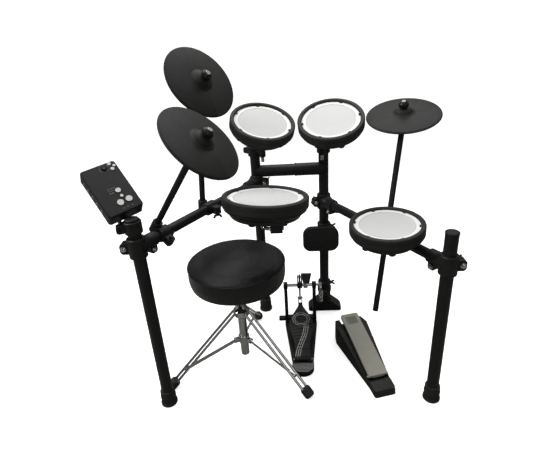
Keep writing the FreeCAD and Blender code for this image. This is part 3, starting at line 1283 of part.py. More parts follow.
def leg_bars(i):
    top, foot, out = throne_leg_ends(i)
    along = unit(foot - top)
    across = out.cross(Z) * ((LEG_BAR_GAP + LEG_BAR_D) / 2)
    return [(top + across * s, foot + across * s + along * 8) for s in (-1, 1)]


def throne_legs():
    """Three legs of two round bars each, with a cross rivet where the brace is pinned."""
    legs = []
    for i in range(3):
        top, foot, out = throne_leg_ends(i)
        rivet = top + (foot - top) * BRACE_AT
        across = out.cross(Z) * ((LEG_BAR_GAP + LEG_BAR_D) / 2 + 4)
        solids = [bar(a, b, LEG_BAR_D) for a, b in leg_bars(i)]
        legs.append(fused(solids + [bar(rivet - across, rivet + across, 6)]))
    return group(legs)


def throne_braces():
    """Flat braces from the collar's lugs to the leg rivets."""
    braces = []
    for i in range(3):
        top, foot, out = throne_leg_ends(i)
        rivet = top + (foot - top) * BRACE_AT
        root = THRONE_AT + out * 31 + Z * COLLAR_Z
        across = out.cross(Z)
        strip = flat_strip(root, rivet, across, 13, 4)
        holes = [bar(p - across * 9, p + across * 9, 6 + 2 * FIT) for p in (root, rivet)]
        braces.append(strip.cut(holes))
    return group(braces)


def flat_strip(a, b, across, wide, thick):
    """A flat strip with round ends from a to b, its thickness along across."""
    half = across * thick / 2
    along = unit(b - a)
    up = along.cross(across) * wide / 2
    face = Part.Face(Part.makePolygon([a - half + up, b - half + up, b - half - up, a - half - up,
                                       a - half + up]))
    return fused([face.extrude(half * 2), bar(a - half, a + half, wide), bar(b - half, b + half, wide)])


def throne_column():
    """Chromed column tube with the leg hub, the brace collar with its lugs and pins, and the height clamp."""
    r = COLUMN_D / 2
    tube = turned([(THRONE_POST_D / 2 + FIT, COLUMN_BOTTOM), (r, COLUMN_BOTTOM), (r, COLUMN_TOP - 26),
                   (r + 5, COLUMN_TOP - 24), (r + 5, COLUMN_TOP), (THRONE_POST_D / 2 + FIT, COLUMN_TOP)])
    hub = turned([(r - 1, HUB_Z - 22), (r + 8, HUB_Z - 22), (r + 14, HUB_Z - 14), (r + 14, HUB_Z + 6),
                  (r + 6, HUB_Z + 14), (r - 1, HUB_Z + 14)])
    collar = turned([(r - 1, COLLAR_Z - 14), (r + 5, COLLAR_Z - 14), (r + 5, COLLAR_Z + 14),
                     (r - 1, COLLAR_Z + 14)])
    solids = [tube, hub, collar]
    cuts = []
    for i in range(3):
        top, foot, out = throne_leg_ends(i)
        out_frame = facing(Z * COLLAR_Z, Z, out)
        for x0, x1 in ((-7.5, -2.3), (2.3, 7.5)):
            solids.append(moved(box(x0, x1, r, r + 23, -8, 8), out_frame))
        across = out.cross(Z)
        pin = out * 31 + Z * COLLAR_Z
        solids.append(bar(pin - across * 8, pin + across * 8, 6))
        cuts += [bar(a - THRONE_AT, b - THRONE_AT, LEG_BAR_D + 2 * FIT) for a, b in leg_bars(i)]
    screw = bar(Vector(0, -r - 8, COLUMN_TOP - 12), Vector(0, -r + 6, COLUMN_TOP - 12), SCREW_D + 2 * FIT)
    post = Part.makeCylinder(THRONE_POST_D / 2 + HINGE_GAP, COLUMN_TOP, Vector())
    return moved(fused(solids).cut(cuts + [screw, post]), Placement(THRONE_AT, Rotation()))


def throne_post():
    """Sliding post tube with the swivel head on top."""
    r = THRONE_POST_D / 2
    top = SEAT_BOTTOM - SEAT_PLATE_T
    post = turned([(r - TUBE_WALL, 96), (r, 96), (r, top - 40), (r + 6, top - 36), (r + 6, top - 14),
                   (8, top - 10),
                   (8, top), (0, top), (0, top - 36), (r - TUBE_WALL, top - 36)])
    return moved(post, Placement(THRONE_AT, Rotation()))


def throne_seat_plate():
    """Seat plate with the swivel socket that turns on the post's head."""
    top = SEAT_BOTTOM
    r = SEAT_PLATE_D / 2
    plate = turned([(8 + HINGE_GAP, top - SEAT_PLATE_T - 9.7), (26, top - SEAT_PLATE_T - 9.7),
                    (30, top - SEAT_PLATE_T),
                    (r, top - SEAT_PLATE_T), (r, top), (0, top), (0, top - SEAT_PLATE_T + 0.3),
                    (8 + HINGE_GAP, top - SEAT_PLATE_T + 0.3)])
    return moved(plate, Placement(THRONE_AT, Rotation()))


def throne_seat():
    """Round padded seat: drawn-in sides, a welt round the top edge and a low crown."""
    r = SEAT_D / 2
    welt = SEAT_BOTTOM + SEAT_SIDE
    seat = turned([(0, SEAT_BOTTOM), (r - 14, SEAT_BOTTOM), (r - 6, SEAT_BOTTOM + 6), (r - 4, welt - 4),
                   (r - 4, welt + 4), (0, SEAT_TOP)],
                  {1: (r - 8.5, SEAT_BOTTOM + 1.8), 2: (r, SEAT_BOTTOM + SEAT_SIDE * 0.5), 3: (r - 0.5, welt),
                   4: dome(r - 4, welt + 4, SEAT_TOP - welt - 4)})
    return moved(seat, Placement(THRONE_AT, Rotation()))


# Every node and its solid
NODES = {
    "leg_tubes": leg_tubes(), "post_tubes": post_tubes(), "arm_tubes": arm_tubes(), "crossbar": crossbar(),
    "tube_caps": tube_caps(), "rubber_feet": rubber_feet(), "kick_stand_foot": kick_stand_foot(),
    "tee_clamps": tee_clamps(), "rod_clamps": rod_clamps(), "wing_screws": wing_screws(), "l_rods": l_rods(),
    "cymbal_rods": cymbal_rods(), "cymbal_tilters": cymbal_tilters(), "cymbal_nuts": cymbal_nuts(),
    "module_bracket": module_bracket(), "module_plate": module_plate(), "module_case": module_case(),
    "module_dial": module_dial(), "kick_pad_face": kick_pad_face(), "kick_pad_housing": kick_pad_housing(),
    "kick_base": kick_base(), "kick_uprights": kick_uprights(), "kick_axle": kick_axle(),
    "beater_rod": beater_rod(),
    "beater_head": beater_head(), "kick_footboard": kick_footboard(), "kick_link": kick_link(),
    "return_spring": return_spring(), "pedal_pins": pedal_pins(), "hat_base": hat_base(),
    "hat_board": hat_board(),
    "hat_heel": hat_heel(), "throne_column": throne_column(), "throne_legs": throne_legs(),
    "throne_braces": throne_braces(), "throne_post": throne_post(), "throne_seat_plate": throne_seat_plate(),
    "throne_seat": throne_seat(),
}
for name in CYMBALS:
    NODES[name + "_pad"] = moved(cymbal_pad(), cymbal_frame(name))
for name in PADS:
    NODES[name + "_body"] = moved(pad_body(name), pad_frame(name))
    NODES[name + "_rim"] = moved(pad_rim(PADS[name]["d"]), pad_frame(name))
    NODES[name + "_head"] = moved(pad_head(PADS[name]["d"]), pad_frame(name))
for number, button in enumerate(BUTTONS, 1):
    NODES["module_button_%d" % number] = module_button(*button)

# Move the kit so that its origin lies under the middle of its box
whole = Part.makeCompound(list(NODES.values())).optimalBoundingBox(False)
ORIGIN = Vector((whole.XMin + whole.XMax) / 2, (whole.YMin + whole.YMax) / 2, whole.ZMin)
os.makedirs("parts", exist_ok=True)
for name, shape in NODES.items():
    shape.translate(-ORIGIN)
    shape.exportStep("parts/%s.step" % name)
print(len(NODES), "nodes, box", [round(v, 1) for v in (whole.XLength, whole.YLength, whole.ZLength)])
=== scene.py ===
import json
import math

import bmesh
import bpy
import numpy as np
from mathutils import Matrix, Vector


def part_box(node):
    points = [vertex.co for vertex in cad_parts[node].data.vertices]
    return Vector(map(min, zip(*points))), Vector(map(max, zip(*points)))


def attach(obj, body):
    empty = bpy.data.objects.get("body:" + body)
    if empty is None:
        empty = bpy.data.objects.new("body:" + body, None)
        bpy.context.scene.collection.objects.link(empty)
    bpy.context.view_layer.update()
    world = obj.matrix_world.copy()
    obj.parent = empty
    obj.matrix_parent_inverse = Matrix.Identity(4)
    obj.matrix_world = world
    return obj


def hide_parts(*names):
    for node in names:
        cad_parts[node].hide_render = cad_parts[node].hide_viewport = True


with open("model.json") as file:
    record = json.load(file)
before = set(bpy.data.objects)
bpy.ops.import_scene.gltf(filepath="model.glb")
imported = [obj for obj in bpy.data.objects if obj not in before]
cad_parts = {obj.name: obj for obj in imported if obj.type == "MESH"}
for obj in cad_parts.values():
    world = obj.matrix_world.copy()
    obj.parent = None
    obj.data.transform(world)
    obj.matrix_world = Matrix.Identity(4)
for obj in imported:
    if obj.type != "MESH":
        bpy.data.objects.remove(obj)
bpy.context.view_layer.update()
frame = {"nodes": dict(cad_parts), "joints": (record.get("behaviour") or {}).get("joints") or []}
nodes = frame["nodes"]
joints = {joint["name"]: joint for joint in frame["joints"]}

# Camera, floor and light. The picture is taken from the player's side, a little above the cymbals, with a
# phone's wide lens held slightly askew. The rack's middle and the line of its front legs place everything.
rack_tube = 0.040
leg_low, leg_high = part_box("leg_tubes")
rack_middle = Vector(((leg_low.x + leg_high.x) / 2, leg_low.y + rack_tube / 2, 0))
camera_at = rack_middle + Vector((0.0086, -1.1342, 1.2089))
look_down, look_left, tilt_right = 24.57, 3.49, 3.68
focal_pixels, picture_width = 429.5, 540

lens = bpy.data.cameras.new("player_side")
lens.sensor_width = 36.0
lens.lens = lens.sensor_width * focal_pixels / picture_width
camera = bpy.data.objects.new("player_side", lens)
bpy.context.scene.collection.objects.link(camera)
camera.matrix_world = (Matrix.Translation(camera_at)
                       @ Matrix.Rotation(math.radians(look_left), 4, "Z")
                       @ Matrix.Rotation(math.radians(90 - look_down), 4, "X")
                       @ Matrix.Rotation(math.radians(-tilt_right), 4, "Z"))
bpy.context.scene.camera = camera
bpy.context.scene.view_settings.view_transform = "Standard"

bpy.ops.object.select_all(action="DESELECT")
bpy.ops.mesh.primitive_plane_add(size=60, location=(0, 2, 0))
floor = bpy.context.object
floor.name = "floor"
floor_finish = bpy.data.materials.new("pale_floor")
floor_finish.use_nodes = True
tree = floor_finish.node_tree
shader = tree.nodes["Principled BSDF"]
shader.inputs["Roughness"].default_value = 0.9
shader.inputs["Specular IOR Level"].default_value = 0.0
ray = tree.nodes.new("ShaderNodeLightPath")
place = tree.nodes.new("ShaderNodeTexCoord")
apart = tree.nodes.new("ShaderNodeVectorMath")
apart.operation = "LENGTH"
fade = tree.nodes.new("ShaderNodeMapRange")
fade.inputs["From Min"].default_value = 1.2
fade.inputs["From Max"].default_value = 3.5
fade.inputs["To Min"].default_value = 0.50
fade.inputs["To Max"].default_value = 1.0
tree.links.new(place.outputs["Object"], apart.inputs[0])
tree.links.new(apart.outputs["Value"], fade.inputs["Value"])
for name, other_rays, camera_rays in (("Base Color", (0.30, 0.295, 0.28, 1), (0.93, 0.93, 0.925, 1)),
                                      ("Emission Color", (0, 0, 0, 1), None)):
    seen = tree.nodes.new("ShaderNodeMix")
    seen.data_type = "RGBA"
    seen.inputs["A"].default_value = other_rays
    if camera_rays:
        seen.inputs["B"].default_value = camera_rays
    else:
        tree.links.new(fade.outputs["Result"], seen.inputs["B"])
    tree.links.new(ray.outputs["Is Camera Ray"], seen.inputs["Factor"])
    tree.links.new(seen.outputs["Result"], shader.inputs[name])
shader.inputs["Emission Strength"].default_value = 1.0
floor.data.materials.append(floor_finish)

sky = bpy.data.worlds.new("studio")
sky.use_nodes = True
tree = sky.node_tree
room = tree.nodes["Background"]
ray = tree.nodes.new("ShaderNodeLightPath")
glow = tree.nodes.new("ShaderNodeMapRange")
glow.inputs["To Min"].default_value = 0.16
glow.inputs["To Max"].default_value = 1.05
tree.links.new(ray.outputs["Is Camera Ray"], glow.inputs["Value"])
tree.links.new(glow.outputs["Result"], room.inputs["Strength"])
room.inputs["Color"].default_value = (1.0, 0.998, 0.99, 1)
bpy.context.scene.world = sky
lit_middle = Vector((0, 0.1, 0.5))
for name, place, size, power in (("ceiling", (0.2, 0.9, 3.2), 3.0, 88),
                                 ("window_left", (-2.0, -0.6, 2.5), 1.1, 52),
                                 ("front_fill", (1.4, -3.4, 2.6), 2.4, 22)):
    lamp = bpy.data.lights.new(name, "AREA")
    lamp.size, lamp.energy = size, power
    light = bpy.data.objects.new(name, lamp)
    light.location = place
    light.rotation_euler = (lit_middle - Vector(place)).to_track_quat("-Z", "Y").to_euler()
    bpy.context.scene.collection.objects.link(light)


# Rack tubes: steel tube with a satin black powder coat that has a faint orange peel and a few rubbed
# patches, and a little dust on top. The uprights, legs, side arms, crossbar and cymbal rods are all cut
# from it.
def make_grain_group():
    """Surface grain for moulded, coated and cast finishes: a fine height and slow, uneven patches."""
    group = bpy.data.node_groups.new("surface_grain", "ShaderNodeTree")
    for name, way in (("Grain per metre", "INPUT"), ("Patches per metre", "INPUT"), ("Height", "OUTPUT"),
                      ("Patches", "OUTPUT")):
        group.interface.new_socket(name, in_out=way, socket_type="NodeSocketFloat")
    start = group.nodes.new("NodeGroupInput")
    end = group.nodes.new("NodeGroupOutput")
    place = group.nodes.new("ShaderNodeTexCoord")
    fine = group.nodes.new("ShaderNodeTexNoise")
    fine.inputs["Detail"].default_value = 3
    slow = group.nodes.new("ShaderNodeTexNoise")
    slow.inputs["Detail"].default_value = 5
    slow.inputs["Roughness"].default_value = 0.65
    spread = group.nodes.new("ShaderNodeMapRange")
    spread.inputs["From Min"].default_value = 0.35
    spread.inputs["From Max"].default_value = 0.7
    for noise, scale in ((fine, "Grain per metre"), (slow, "Patches per metre")):
        group.links.new(place.outputs["Object"], noise.inputs["Vector"])
        group.links.new(start.outputs[scale], noise.inputs["Scale"])
    group.links.new(fine.outputs["Fac"], end.inputs["Height"])
    group.links.new(slow.outputs["Fac"], spread.inputs["Value"])
    group.links.new(spread.outputs["Result"], end.inputs["Patches"])
    return group


def make_dust_group():
    """Fine dust that settles on faces turned upwards, thicker in some places than in others."""
    group = bpy.data.node_groups.new("settled_dust", "ShaderNodeTree")
    group.interface.new_socket("Amount", in_out="INPUT", socket_type="NodeSocketFloat")
    group.interface.new_socket("Mask", in_out="OUTPUT", socket_type="NodeSocketFloat")
    start = group.nodes.new("NodeGroupInput")
    end = group.nodes.new("NodeGroupOutput")
    place = group.nodes.new("ShaderNodeTexCoord")
    axes = group.nodes.new("ShaderNodeSeparateXYZ")
    upward = group.nodes.new("ShaderNodeMapRange")
    upward.inputs["From Min"].default_value = 0.15
    upward.inputs["From Max"].default_value = 0.95
    drift = group.nodes.new("ShaderNodeTexNoise")
    drift.inputs["Scale"].default_value = 38
    drift.inputs["Detail"].default_value = 8
    drift.inputs["Roughness"].default_value = 0.7
    uneven = group.nodes.new("ShaderNodeMapRange")
    uneven.inputs["From Min"].default_value = 0.3
    uneven.inputs["From Max"].default_value = 0.75
    group.links.new(place.outputs["Normal"], axes.inputs["Vector"])
    group.links.new(axes.outputs["Z"], upward.inputs["Value"])
    group.links.new(place.outputs["Object"], drift.inputs["Vector"])
    group.links.new(drift.outputs["Fac"], uneven.inputs["Value"])
    lying = calculate(group, "MULTIPLY", upward.outputs["Result"], uneven.outputs["Result"])
    lying = calculate(group, "MULTIPLY", lying, start.outputs["Amount"])
    group.links.new(lying, end.inputs["Mask"])
    return group


def calculate(tree, operation, *values):
    """One Math node; its values are numbers or sockets. Returns its result socket."""
    node = tree.nodes.new("ShaderNodeMath")
    node.operation = operation
    for socket, value in zip(node.inputs, values):
        if isinstance(value, (int, float)):
            socket.default_value = value
        else:
            tree.links.new(value, socket)
    return node.outputs["Value"]


surface_grain = make_grain_group()
settled_dust = make_dust_group()
dust_colour = (0.10, 0.098, 0.09, 1)


def finish(name, colour, patch_colour, rough, patch_rough, grain=900, patches=14, bump=0.15, metal=0.0,
           coat=0.0,
           gloss=0.25, dust=0.0):
    """A grained finish: colour and roughness drift from patch to patch, the grain stands up as a fine bump,
    and dust lies on top."""
    made = bpy.data.materials.new(name)
    made.use_nodes = True
    tree = made.node_tree
    shader = tree.nodes["Principled BSDF"]
    shader.inputs["Metallic"].default_value = metal
    shader.inputs["Coat Weight"].default_value = coat
    shader.inputs["Specular IOR Level"].default_value = gloss
    skin = tree.nodes.new("ShaderNodeGroup")
    skin.node_tree = surface_grain
    skin.inputs["Grain per metre"].default_value = grain
    skin.inputs["Patches per metre"].default_value = patches
    tint = tree.nodes.new("ShaderNodeMix")
    tint.data_type = "RGBA"
    tint.inputs["A"].default_value = (*colour, 1)
    tint.inputs["B"].default_value = (*patch_colour, 1)
    polish = tree.nodes.new("ShaderNodeMapRange")
    polish.inputs["To Min"].default_value = rough
    polish.inputs["To Max"].default_value = patch_rough
    relief = tree.nodes.new("ShaderNodeBump")
    relief.name = "relief"
    relief.inputs["Strength"].default_value = bump
    relief.inputs["Distance"].default_value = 0.0006
    tree.links.new(skin.outputs["Patches"], tint.inputs["Factor"])
    tree.links.new(skin.outputs["Patches"], polish.inputs["Value"])
    tree.links.new(skin.outputs["Height"], relief.inputs["Height"])
    tree.links.new(tint.outputs["Result"], shader.inputs["Base Color"])
    tree.links.new(polish.outputs["Result"], shader.inputs["Roughness"])
    tree.links.new(relief.outputs["Normal"], shader.inputs["Normal"])
    if dust:
        lying = tree.nodes.new("ShaderNodeGroup")
        lying.node_tree = settled_dust
        lying.inputs["Amount"].default_value = dust
        inlay(made, lying.outputs["Mask"], dust_colour[:3], 0.85, metal)
    return made


def inlay(made, mask, colour, rough, metal=0.0):
    """Lays a second finish over the first where the mask is 1."""
    tree = made.node_tree
    shader = tree.nodes["Principled BSDF"]
    for name, kind, value in (("Base Color", "RGBA", (*colour, 1)), ("Roughness", "FLOAT", rough),
                              ("Metallic", "FLOAT", metal)):
        socket = shader.inputs[name]
        if not socket.is_linked and socket.default_value == value:
            continue
        over = tree.nodes.new("ShaderNodeMix")
        over.data_type = kind
        if socket.is_linked:
            tree.links.new(socket.links[0].from_socket, over.inputs["A"])
        else:
            over.inputs["A"].default_value = socket.default_value
        over.inputs["B"].default_value = value
        tree.links.new(mask, over.inputs["Factor"])
        tree.links.new(over.outputs["Result"], socket)


def dress(material, *names):
    """Gives solids of the frame a finish."""
    for name in names:
        nodes[name].data.materials.clear()
        nodes[name].data.materials.append(material)


powder_coat = finish("black_powder_coat", (0.0075, 0.0083, 0.0075), (0.012, 0.013, 0.012), 0.36, 0.5, 700, 9,
                     0.08, gloss=0.22, dust=0.05)
dress(powder_coat, "leg_tubes", "post_tubes", "arm_tubes", "crossbar", "cymbal_rods")

# Boots, caps and stand foot: dull black rubber boots on the floor, moulded plastic plugs in the leg tops,
# and a moulded socket foot under the right upright.
boot_rubber = finish("boot_rubber", (0.011, 0.0115, 0.010), (0.021, 0.021, 0.018), 0.68, 0.85, 1200, 20, 0.2,
                     dust=0.5)
moulded_black = finish("moulded_black", (0.0075, 0.008, 0.0075), (0.013, 0.0135, 0.0125), 0.45, 0.6, 1500,
                       25, 0.22, gloss=0.2, dust=0.06)
dress(boot_rubber, "rubber_feet", "hat_heel")
dress(moulded_black, "tube_caps", "kick_stand_foot")

# Clamps: glass-filled nylon castings with a sparkle of grain, closed round the tubes and rods by black wing
# screws through a pair of lugs. The module's plate and the cymbals' tilters are painted like the screws.
clamp_nylon = finish("clamp_nylon", (0.0065, 0.007, 0.0065), (0.014, 0.015, 0.014), 0.38, 0.56, 1100, 30,
                     0.3, dust=0.08)
screw_black = finish("screw_black", (0.009, 0.0092, 0.009), (0.035, 0.035, 0.033), 0.34, 0.5, 800, 60, 0.1,
                     0.3)
dress(clamp_nylon, "tee_clamps", "rod_clamps", "module_bracket", "kick_pad_housing")
dress(screw_black, "wing_screws", "cymbal_tilters", "module_plate")

# Clamp nuts: chromed dome nuts on washers, turned with a rounded top. Each holds a wing screw of a tee
# clamp on the far side of its lug, beside the tube or under the socket.
chrome = finish("chrome", (0.58, 0.58, 0.57), (0.46, 0.46, 0.44), 0.10, 0.22, 500, 40, 0.02, 1.0)


def pick(piece, test):
    """In edit mode, selects the faces that pass a test, and nothing else."""
    bpy.ops.mesh.select_mode(type="FACE")
    bpy.ops.mesh.select_all(action="DESELECT")
    shape = bmesh.from_edit_mesh(piece.data)
    for face in shape.faces:
        if test(face):
            face.select_set(True)
    bmesh.update_edit_mesh(piece.data)


def gather(master, places, name):
    """Copies a finished master to every place, each with its own mesh, and joins the copies."""
    bpy.ops.object.select_all(action="DESELECT")
    for place in places:
        copy = master.copy()
        copy.data = master.data.copy()
        copy.data.transform(place)
        bpy.context.scene.collection.objects.link(copy)
        copy.select_set(True)
        bpy.context.view_layer.objects.active = copy
    bpy.data.objects.remove(master)
    bpy.ops.object.join()
    piece = bpy.context.object
    piece.name = name
    return piece


def upright_place(at, out, beside):
    """A placement with Z along out and Y along beside."""
    return Matrix.Translation(at) @ Matrix((beside.cross(out), beside, out)).transposed().to_4x4()


arm_height = {-1: 0.633, 1: 0.538}
clamp_reach, lug_middle, lug_half = 0.028, 0.011, 0.013
socket_along, socket_reach = 0.052, 0.019
nut_radius, nut_height, washer_radius, washer_height = 0.0062, 0.0048, 0.0085, 0.0012

bpy.ops.object.select_all(action="DESELECT")
bpy.ops.mesh.primitive_cylinder_add(vertices=24, radius=washer_radius, depth=washer_height,
                                    location=(0, 0, washer_height / 2))
dome_nut = bpy.context.object
bpy.ops.object.transform_apply(location=True, rotation=True, scale=True)
bpy.ops.object.mode_set(mode="EDIT")
pick(dome_nut, lambda face: face.normal.z > 0.9)
bpy.ops.mesh.inset(thickness=washer_radius - nut_radius)
bpy.ops.mesh.extrude_region_move(TRANSFORM_OT_translate={"value": (0, 0, nut_height)})
for step in (0.0008, 0.0012, 0.0014):
    bpy.ops.mesh.inset(thickness=step)
    bpy.ops.transform.translate(value=(0, 0, 0.0016 - step))
bpy.ops.mesh.inset(thickness=0.0004)
bpy.ops.object.mode_set(mode="OBJECT")
bpy.ops.object.shade_smooth_by_angle(angle=math.radians(35))

post_low, post_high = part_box("post_tubes")
down = Vector((0, 0, -1))
nut_places = []
for side, leg_x, post_x in ((-1, leg_low.x, post_low.x), (1, leg_high.x, post_high.x)):
    leg = Vector((leg_x - side * rack_tube / 2, leg_low.y + rack_tube / 2, arm_height[side]))
    post = Vector((post_x - side * rack_tube / 2, (post_low.y + post_high.y) / 2, arm_height[side]))
    along = (post - leg).normalized()
    for at, out, way, turn in ((leg, Vector((side, 0, 0)), along, side),
                               (post, Vector((-side, -0.3, 0)).normalized(), -along, -side)):
        face = out.cross(Vector((0, 0, 1))) * turn
        lug = at + out * (clamp_reach + lug_middle)
        nut_places.append(upright_place(lug + face * lug_half, face, out))
        under_face = down.cross(way) * -turn
        under_lug = at + way * socket_along + down * (socket_reach + lug_middle)
        nut_places.append(upright_place(under_lug + under_face * lug_half, under_face, down))
clamp_nuts = gather(dome_nut, nut_places, "clamp_nuts")
clamp_nuts.data.materials.append(chrome)
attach(clamp_nuts, "rack")


# Cymbal pads: a moulded disc under thick matte rubber, with the striking sector towards the player set off
# by a crease and rubbed by sticks. The sector is painted darker and a dark line is painted along the
# crease, both painted shade. Each rocks on a ball seat under a ribbed black nut, with a bright metal spot
# on its top that is a painted highlight.
def disc_frame(node, joint, centre=None):
    """A round pad's own frame, from its rim and its tilt axis: X along the axis, Z out of its face."""
    low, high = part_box(node)
    middle = (low + high) / 2
    spread = np.array([vertex.co for vertex in nodes[node].data.vertices]) - np.array(middle)
    far = np.linalg.norm(spread, axis=1)
    out = Vector(np.linalg.svd(spread[far > 0.97 * far.max()], full_matrices=False)[2][2])
    if out.z < 0:
        out.negate()
    ahead = out.cross(Vector(joints[joint]["axis"])).normalized()
    if centre is None:
        centre = middle + out * float((spread @ np.array(out)).max())
    return Matrix.Translation(centre) @ Matrix((ahead.cross(out), ahead, out)).transposed().to_4x4()


def own_place(tree, place):
    """Object coordinates seen from a piece's own frame, as a Mapping node's vector."""
    coordinates = tree.nodes.new("ShaderNodeTexCoord")
    turn = tree.nodes.new("ShaderNodeMapping")
    turn.vector_type = "TEXTURE"
    turn.inputs["Location"].default_value = place.to_translation()
    turn.inputs["Rotation"].default_value = place.to_euler()
    tree.links.new(coordinates.outputs["Object"], turn.inputs["Vector"])
    return turn.outputs["Vector"]


def own_axes(tree, place):
    """The same, split into X, Y and Z sockets."""
    axes = tree.nodes.new("ShaderNodeSeparateXYZ")
    tree.links.new(own_place(tree, place), axes.inputs["Vector"])
    return [axes.outputs[name] for name in "XYZ"]


def between(tree, value, low, high):
    """1 where a value lies between two limits."""
    return calculate(tree, "MULTIPLY", calculate(tree, "GREATER_THAN", value, low),
                     calculate(tree, "LESS_THAN", value, high))


def radius_of(tree, x, y):
    """Distance from the axis of a piece's own frame."""
    return calculate(tree, "SQRT", calculate(tree, "ADD", calculate(tree, "MULTIPLY", x, x),
                                             calculate(tree, "MULTIPLY", y, y)))


def stick_marks(tree, vector, per_metre, amount):
    """Short rubbed streaks, as sticks leave them, up to the given amount."""
    stretch = tree.nodes.new("ShaderNodeMapping")
    stretch.inputs["Scale"].default_value = (per_metre, per_metre * 0.18, per_metre)
    streaks = tree.nodes.new("ShaderNodeTexNoise")
    streaks.inputs["Scale"].default_value = 1.0
    streaks.inputs["Detail"].default_value = 6
    cut = tree.nodes.new("ShaderNodeMapRange")
    cut.inputs["From Min"].default_value = 0.56
    cut.inputs["From Max"].default_value = 0.74
    cut.inputs["To Max"].default_value = amount
    tree.links.new(vector, stretch.inputs["Vector"])
    tree.links.new(stretch.outputs["Vector"], streaks.inputs["Vector"])
    tree.links.new(streaks.outputs["Fac"], cut.inputs["Value"])
    return cut.outputs["Result"]


bell_radius, sector_half_angle, crease_shade_width = 0.045, math.radians(75), 0.0011
highlight_spot_height, highlight_spot_radius, highlight_spot_rise = 0.0432, 0.0078, 0.002
highlight_spots = []
for pad in ("hihat", "crash", "ride"):
    place = disc_frame(pad + "_pad", pad + "_rock", Vector(joints[pad + "_rock"]["pos_m"]))
    rubber = finish(pad + "_rubber", (0.0145, 0.0162, 0.0140), (0.0185, 0.0202, 0.0178), 0.5, 0.62, 1500, 12,
                    0.16, gloss=0.14, dust=0.05)
    tree = rubber.node_tree
    x, y, z = own_axes(tree, place)
    angle = calculate(tree, "ABSOLUTE", calculate(tree, "ARCTAN2", x, y))
    reach = radius_of(tree, x, y)
    off_bell = calculate(tree, "GREATER_THAN", reach, bell_radius)
    shaded_struck_sector = calculate(tree, "MULTIPLY", calculate(tree, "LESS_THAN", angle, sector_half_angle), off_bell)
    # Painted shade: the striking sector is painted darker than the rest of the rubber.
    inlay(rubber, calculate(tree, "MULTIPLY", shaded_struck_sector, 0.8), (0.0115, 0.0130, 0.0112), 0.5)
    # Painted shade: a dark line along the crease at the sector's edges.
    crease_shade = calculate(tree, "ABSOLUTE", calculate(tree, "SUBTRACT", angle, sector_half_angle))
    crease_shade = calculate(tree, "LESS_THAN", calculate(tree, "MULTIPLY", crease_shade, reach), crease_shade_width)
    crease_shade = calculate(tree, "MULTIPLY", crease_shade, off_bell)
    inlay(rubber, calculate(tree, "MULTIPLY", crease_shade, 0.75), (0.004, 0.0044, 0.004), 0.7)
    marks = stick_marks(tree, own_place(tree, place), 160, 0.28)
    inlay(rubber, calculate(tree, "MULTIPLY", shaded_struck_sector, marks), (0.032, 0.034, 0.031), 0.6)
    dress(rubber, pad + "_pad")
    highlight_spots.append(place @ Vector((0, 0, highlight_spot_height)))

nut_black = finish("cymbal_nut_black", (0.006, 0.0065, 0.006), (0.011, 0.0115, 0.011), 0.3, 0.45, 1300, 40,
                   0.15)
tree = nut_black.node_tree
coordinates = tree.nodes.new("ShaderNodeTexCoord")
painted_highlight = 0.0
for highlight_spot in highlight_spots:
    away = tree.nodes.new("ShaderNodeVectorMath")
    away.operation = "DISTANCE"
    away.inputs[1].default_value = highlight_spot + Vector((0, 0, highlight_spot_rise))
    tree.links.new(coordinates.outputs["Object"], away.inputs[0])
    near = calculate(tree, "LESS_THAN", away.outputs["Value"], highlight_spot_radius)
    painted_highlight = calculate(tree, "MAXIMUM", painted_highlight, near)
# Painted highlight: a bright metal spot on the top of each cymbal nut.
inlay(nut_black, painted_highlight, (0.24, 0.24, 0.23), 0.28, 1.0)
dress(nut_black, "cymbal_nuts")

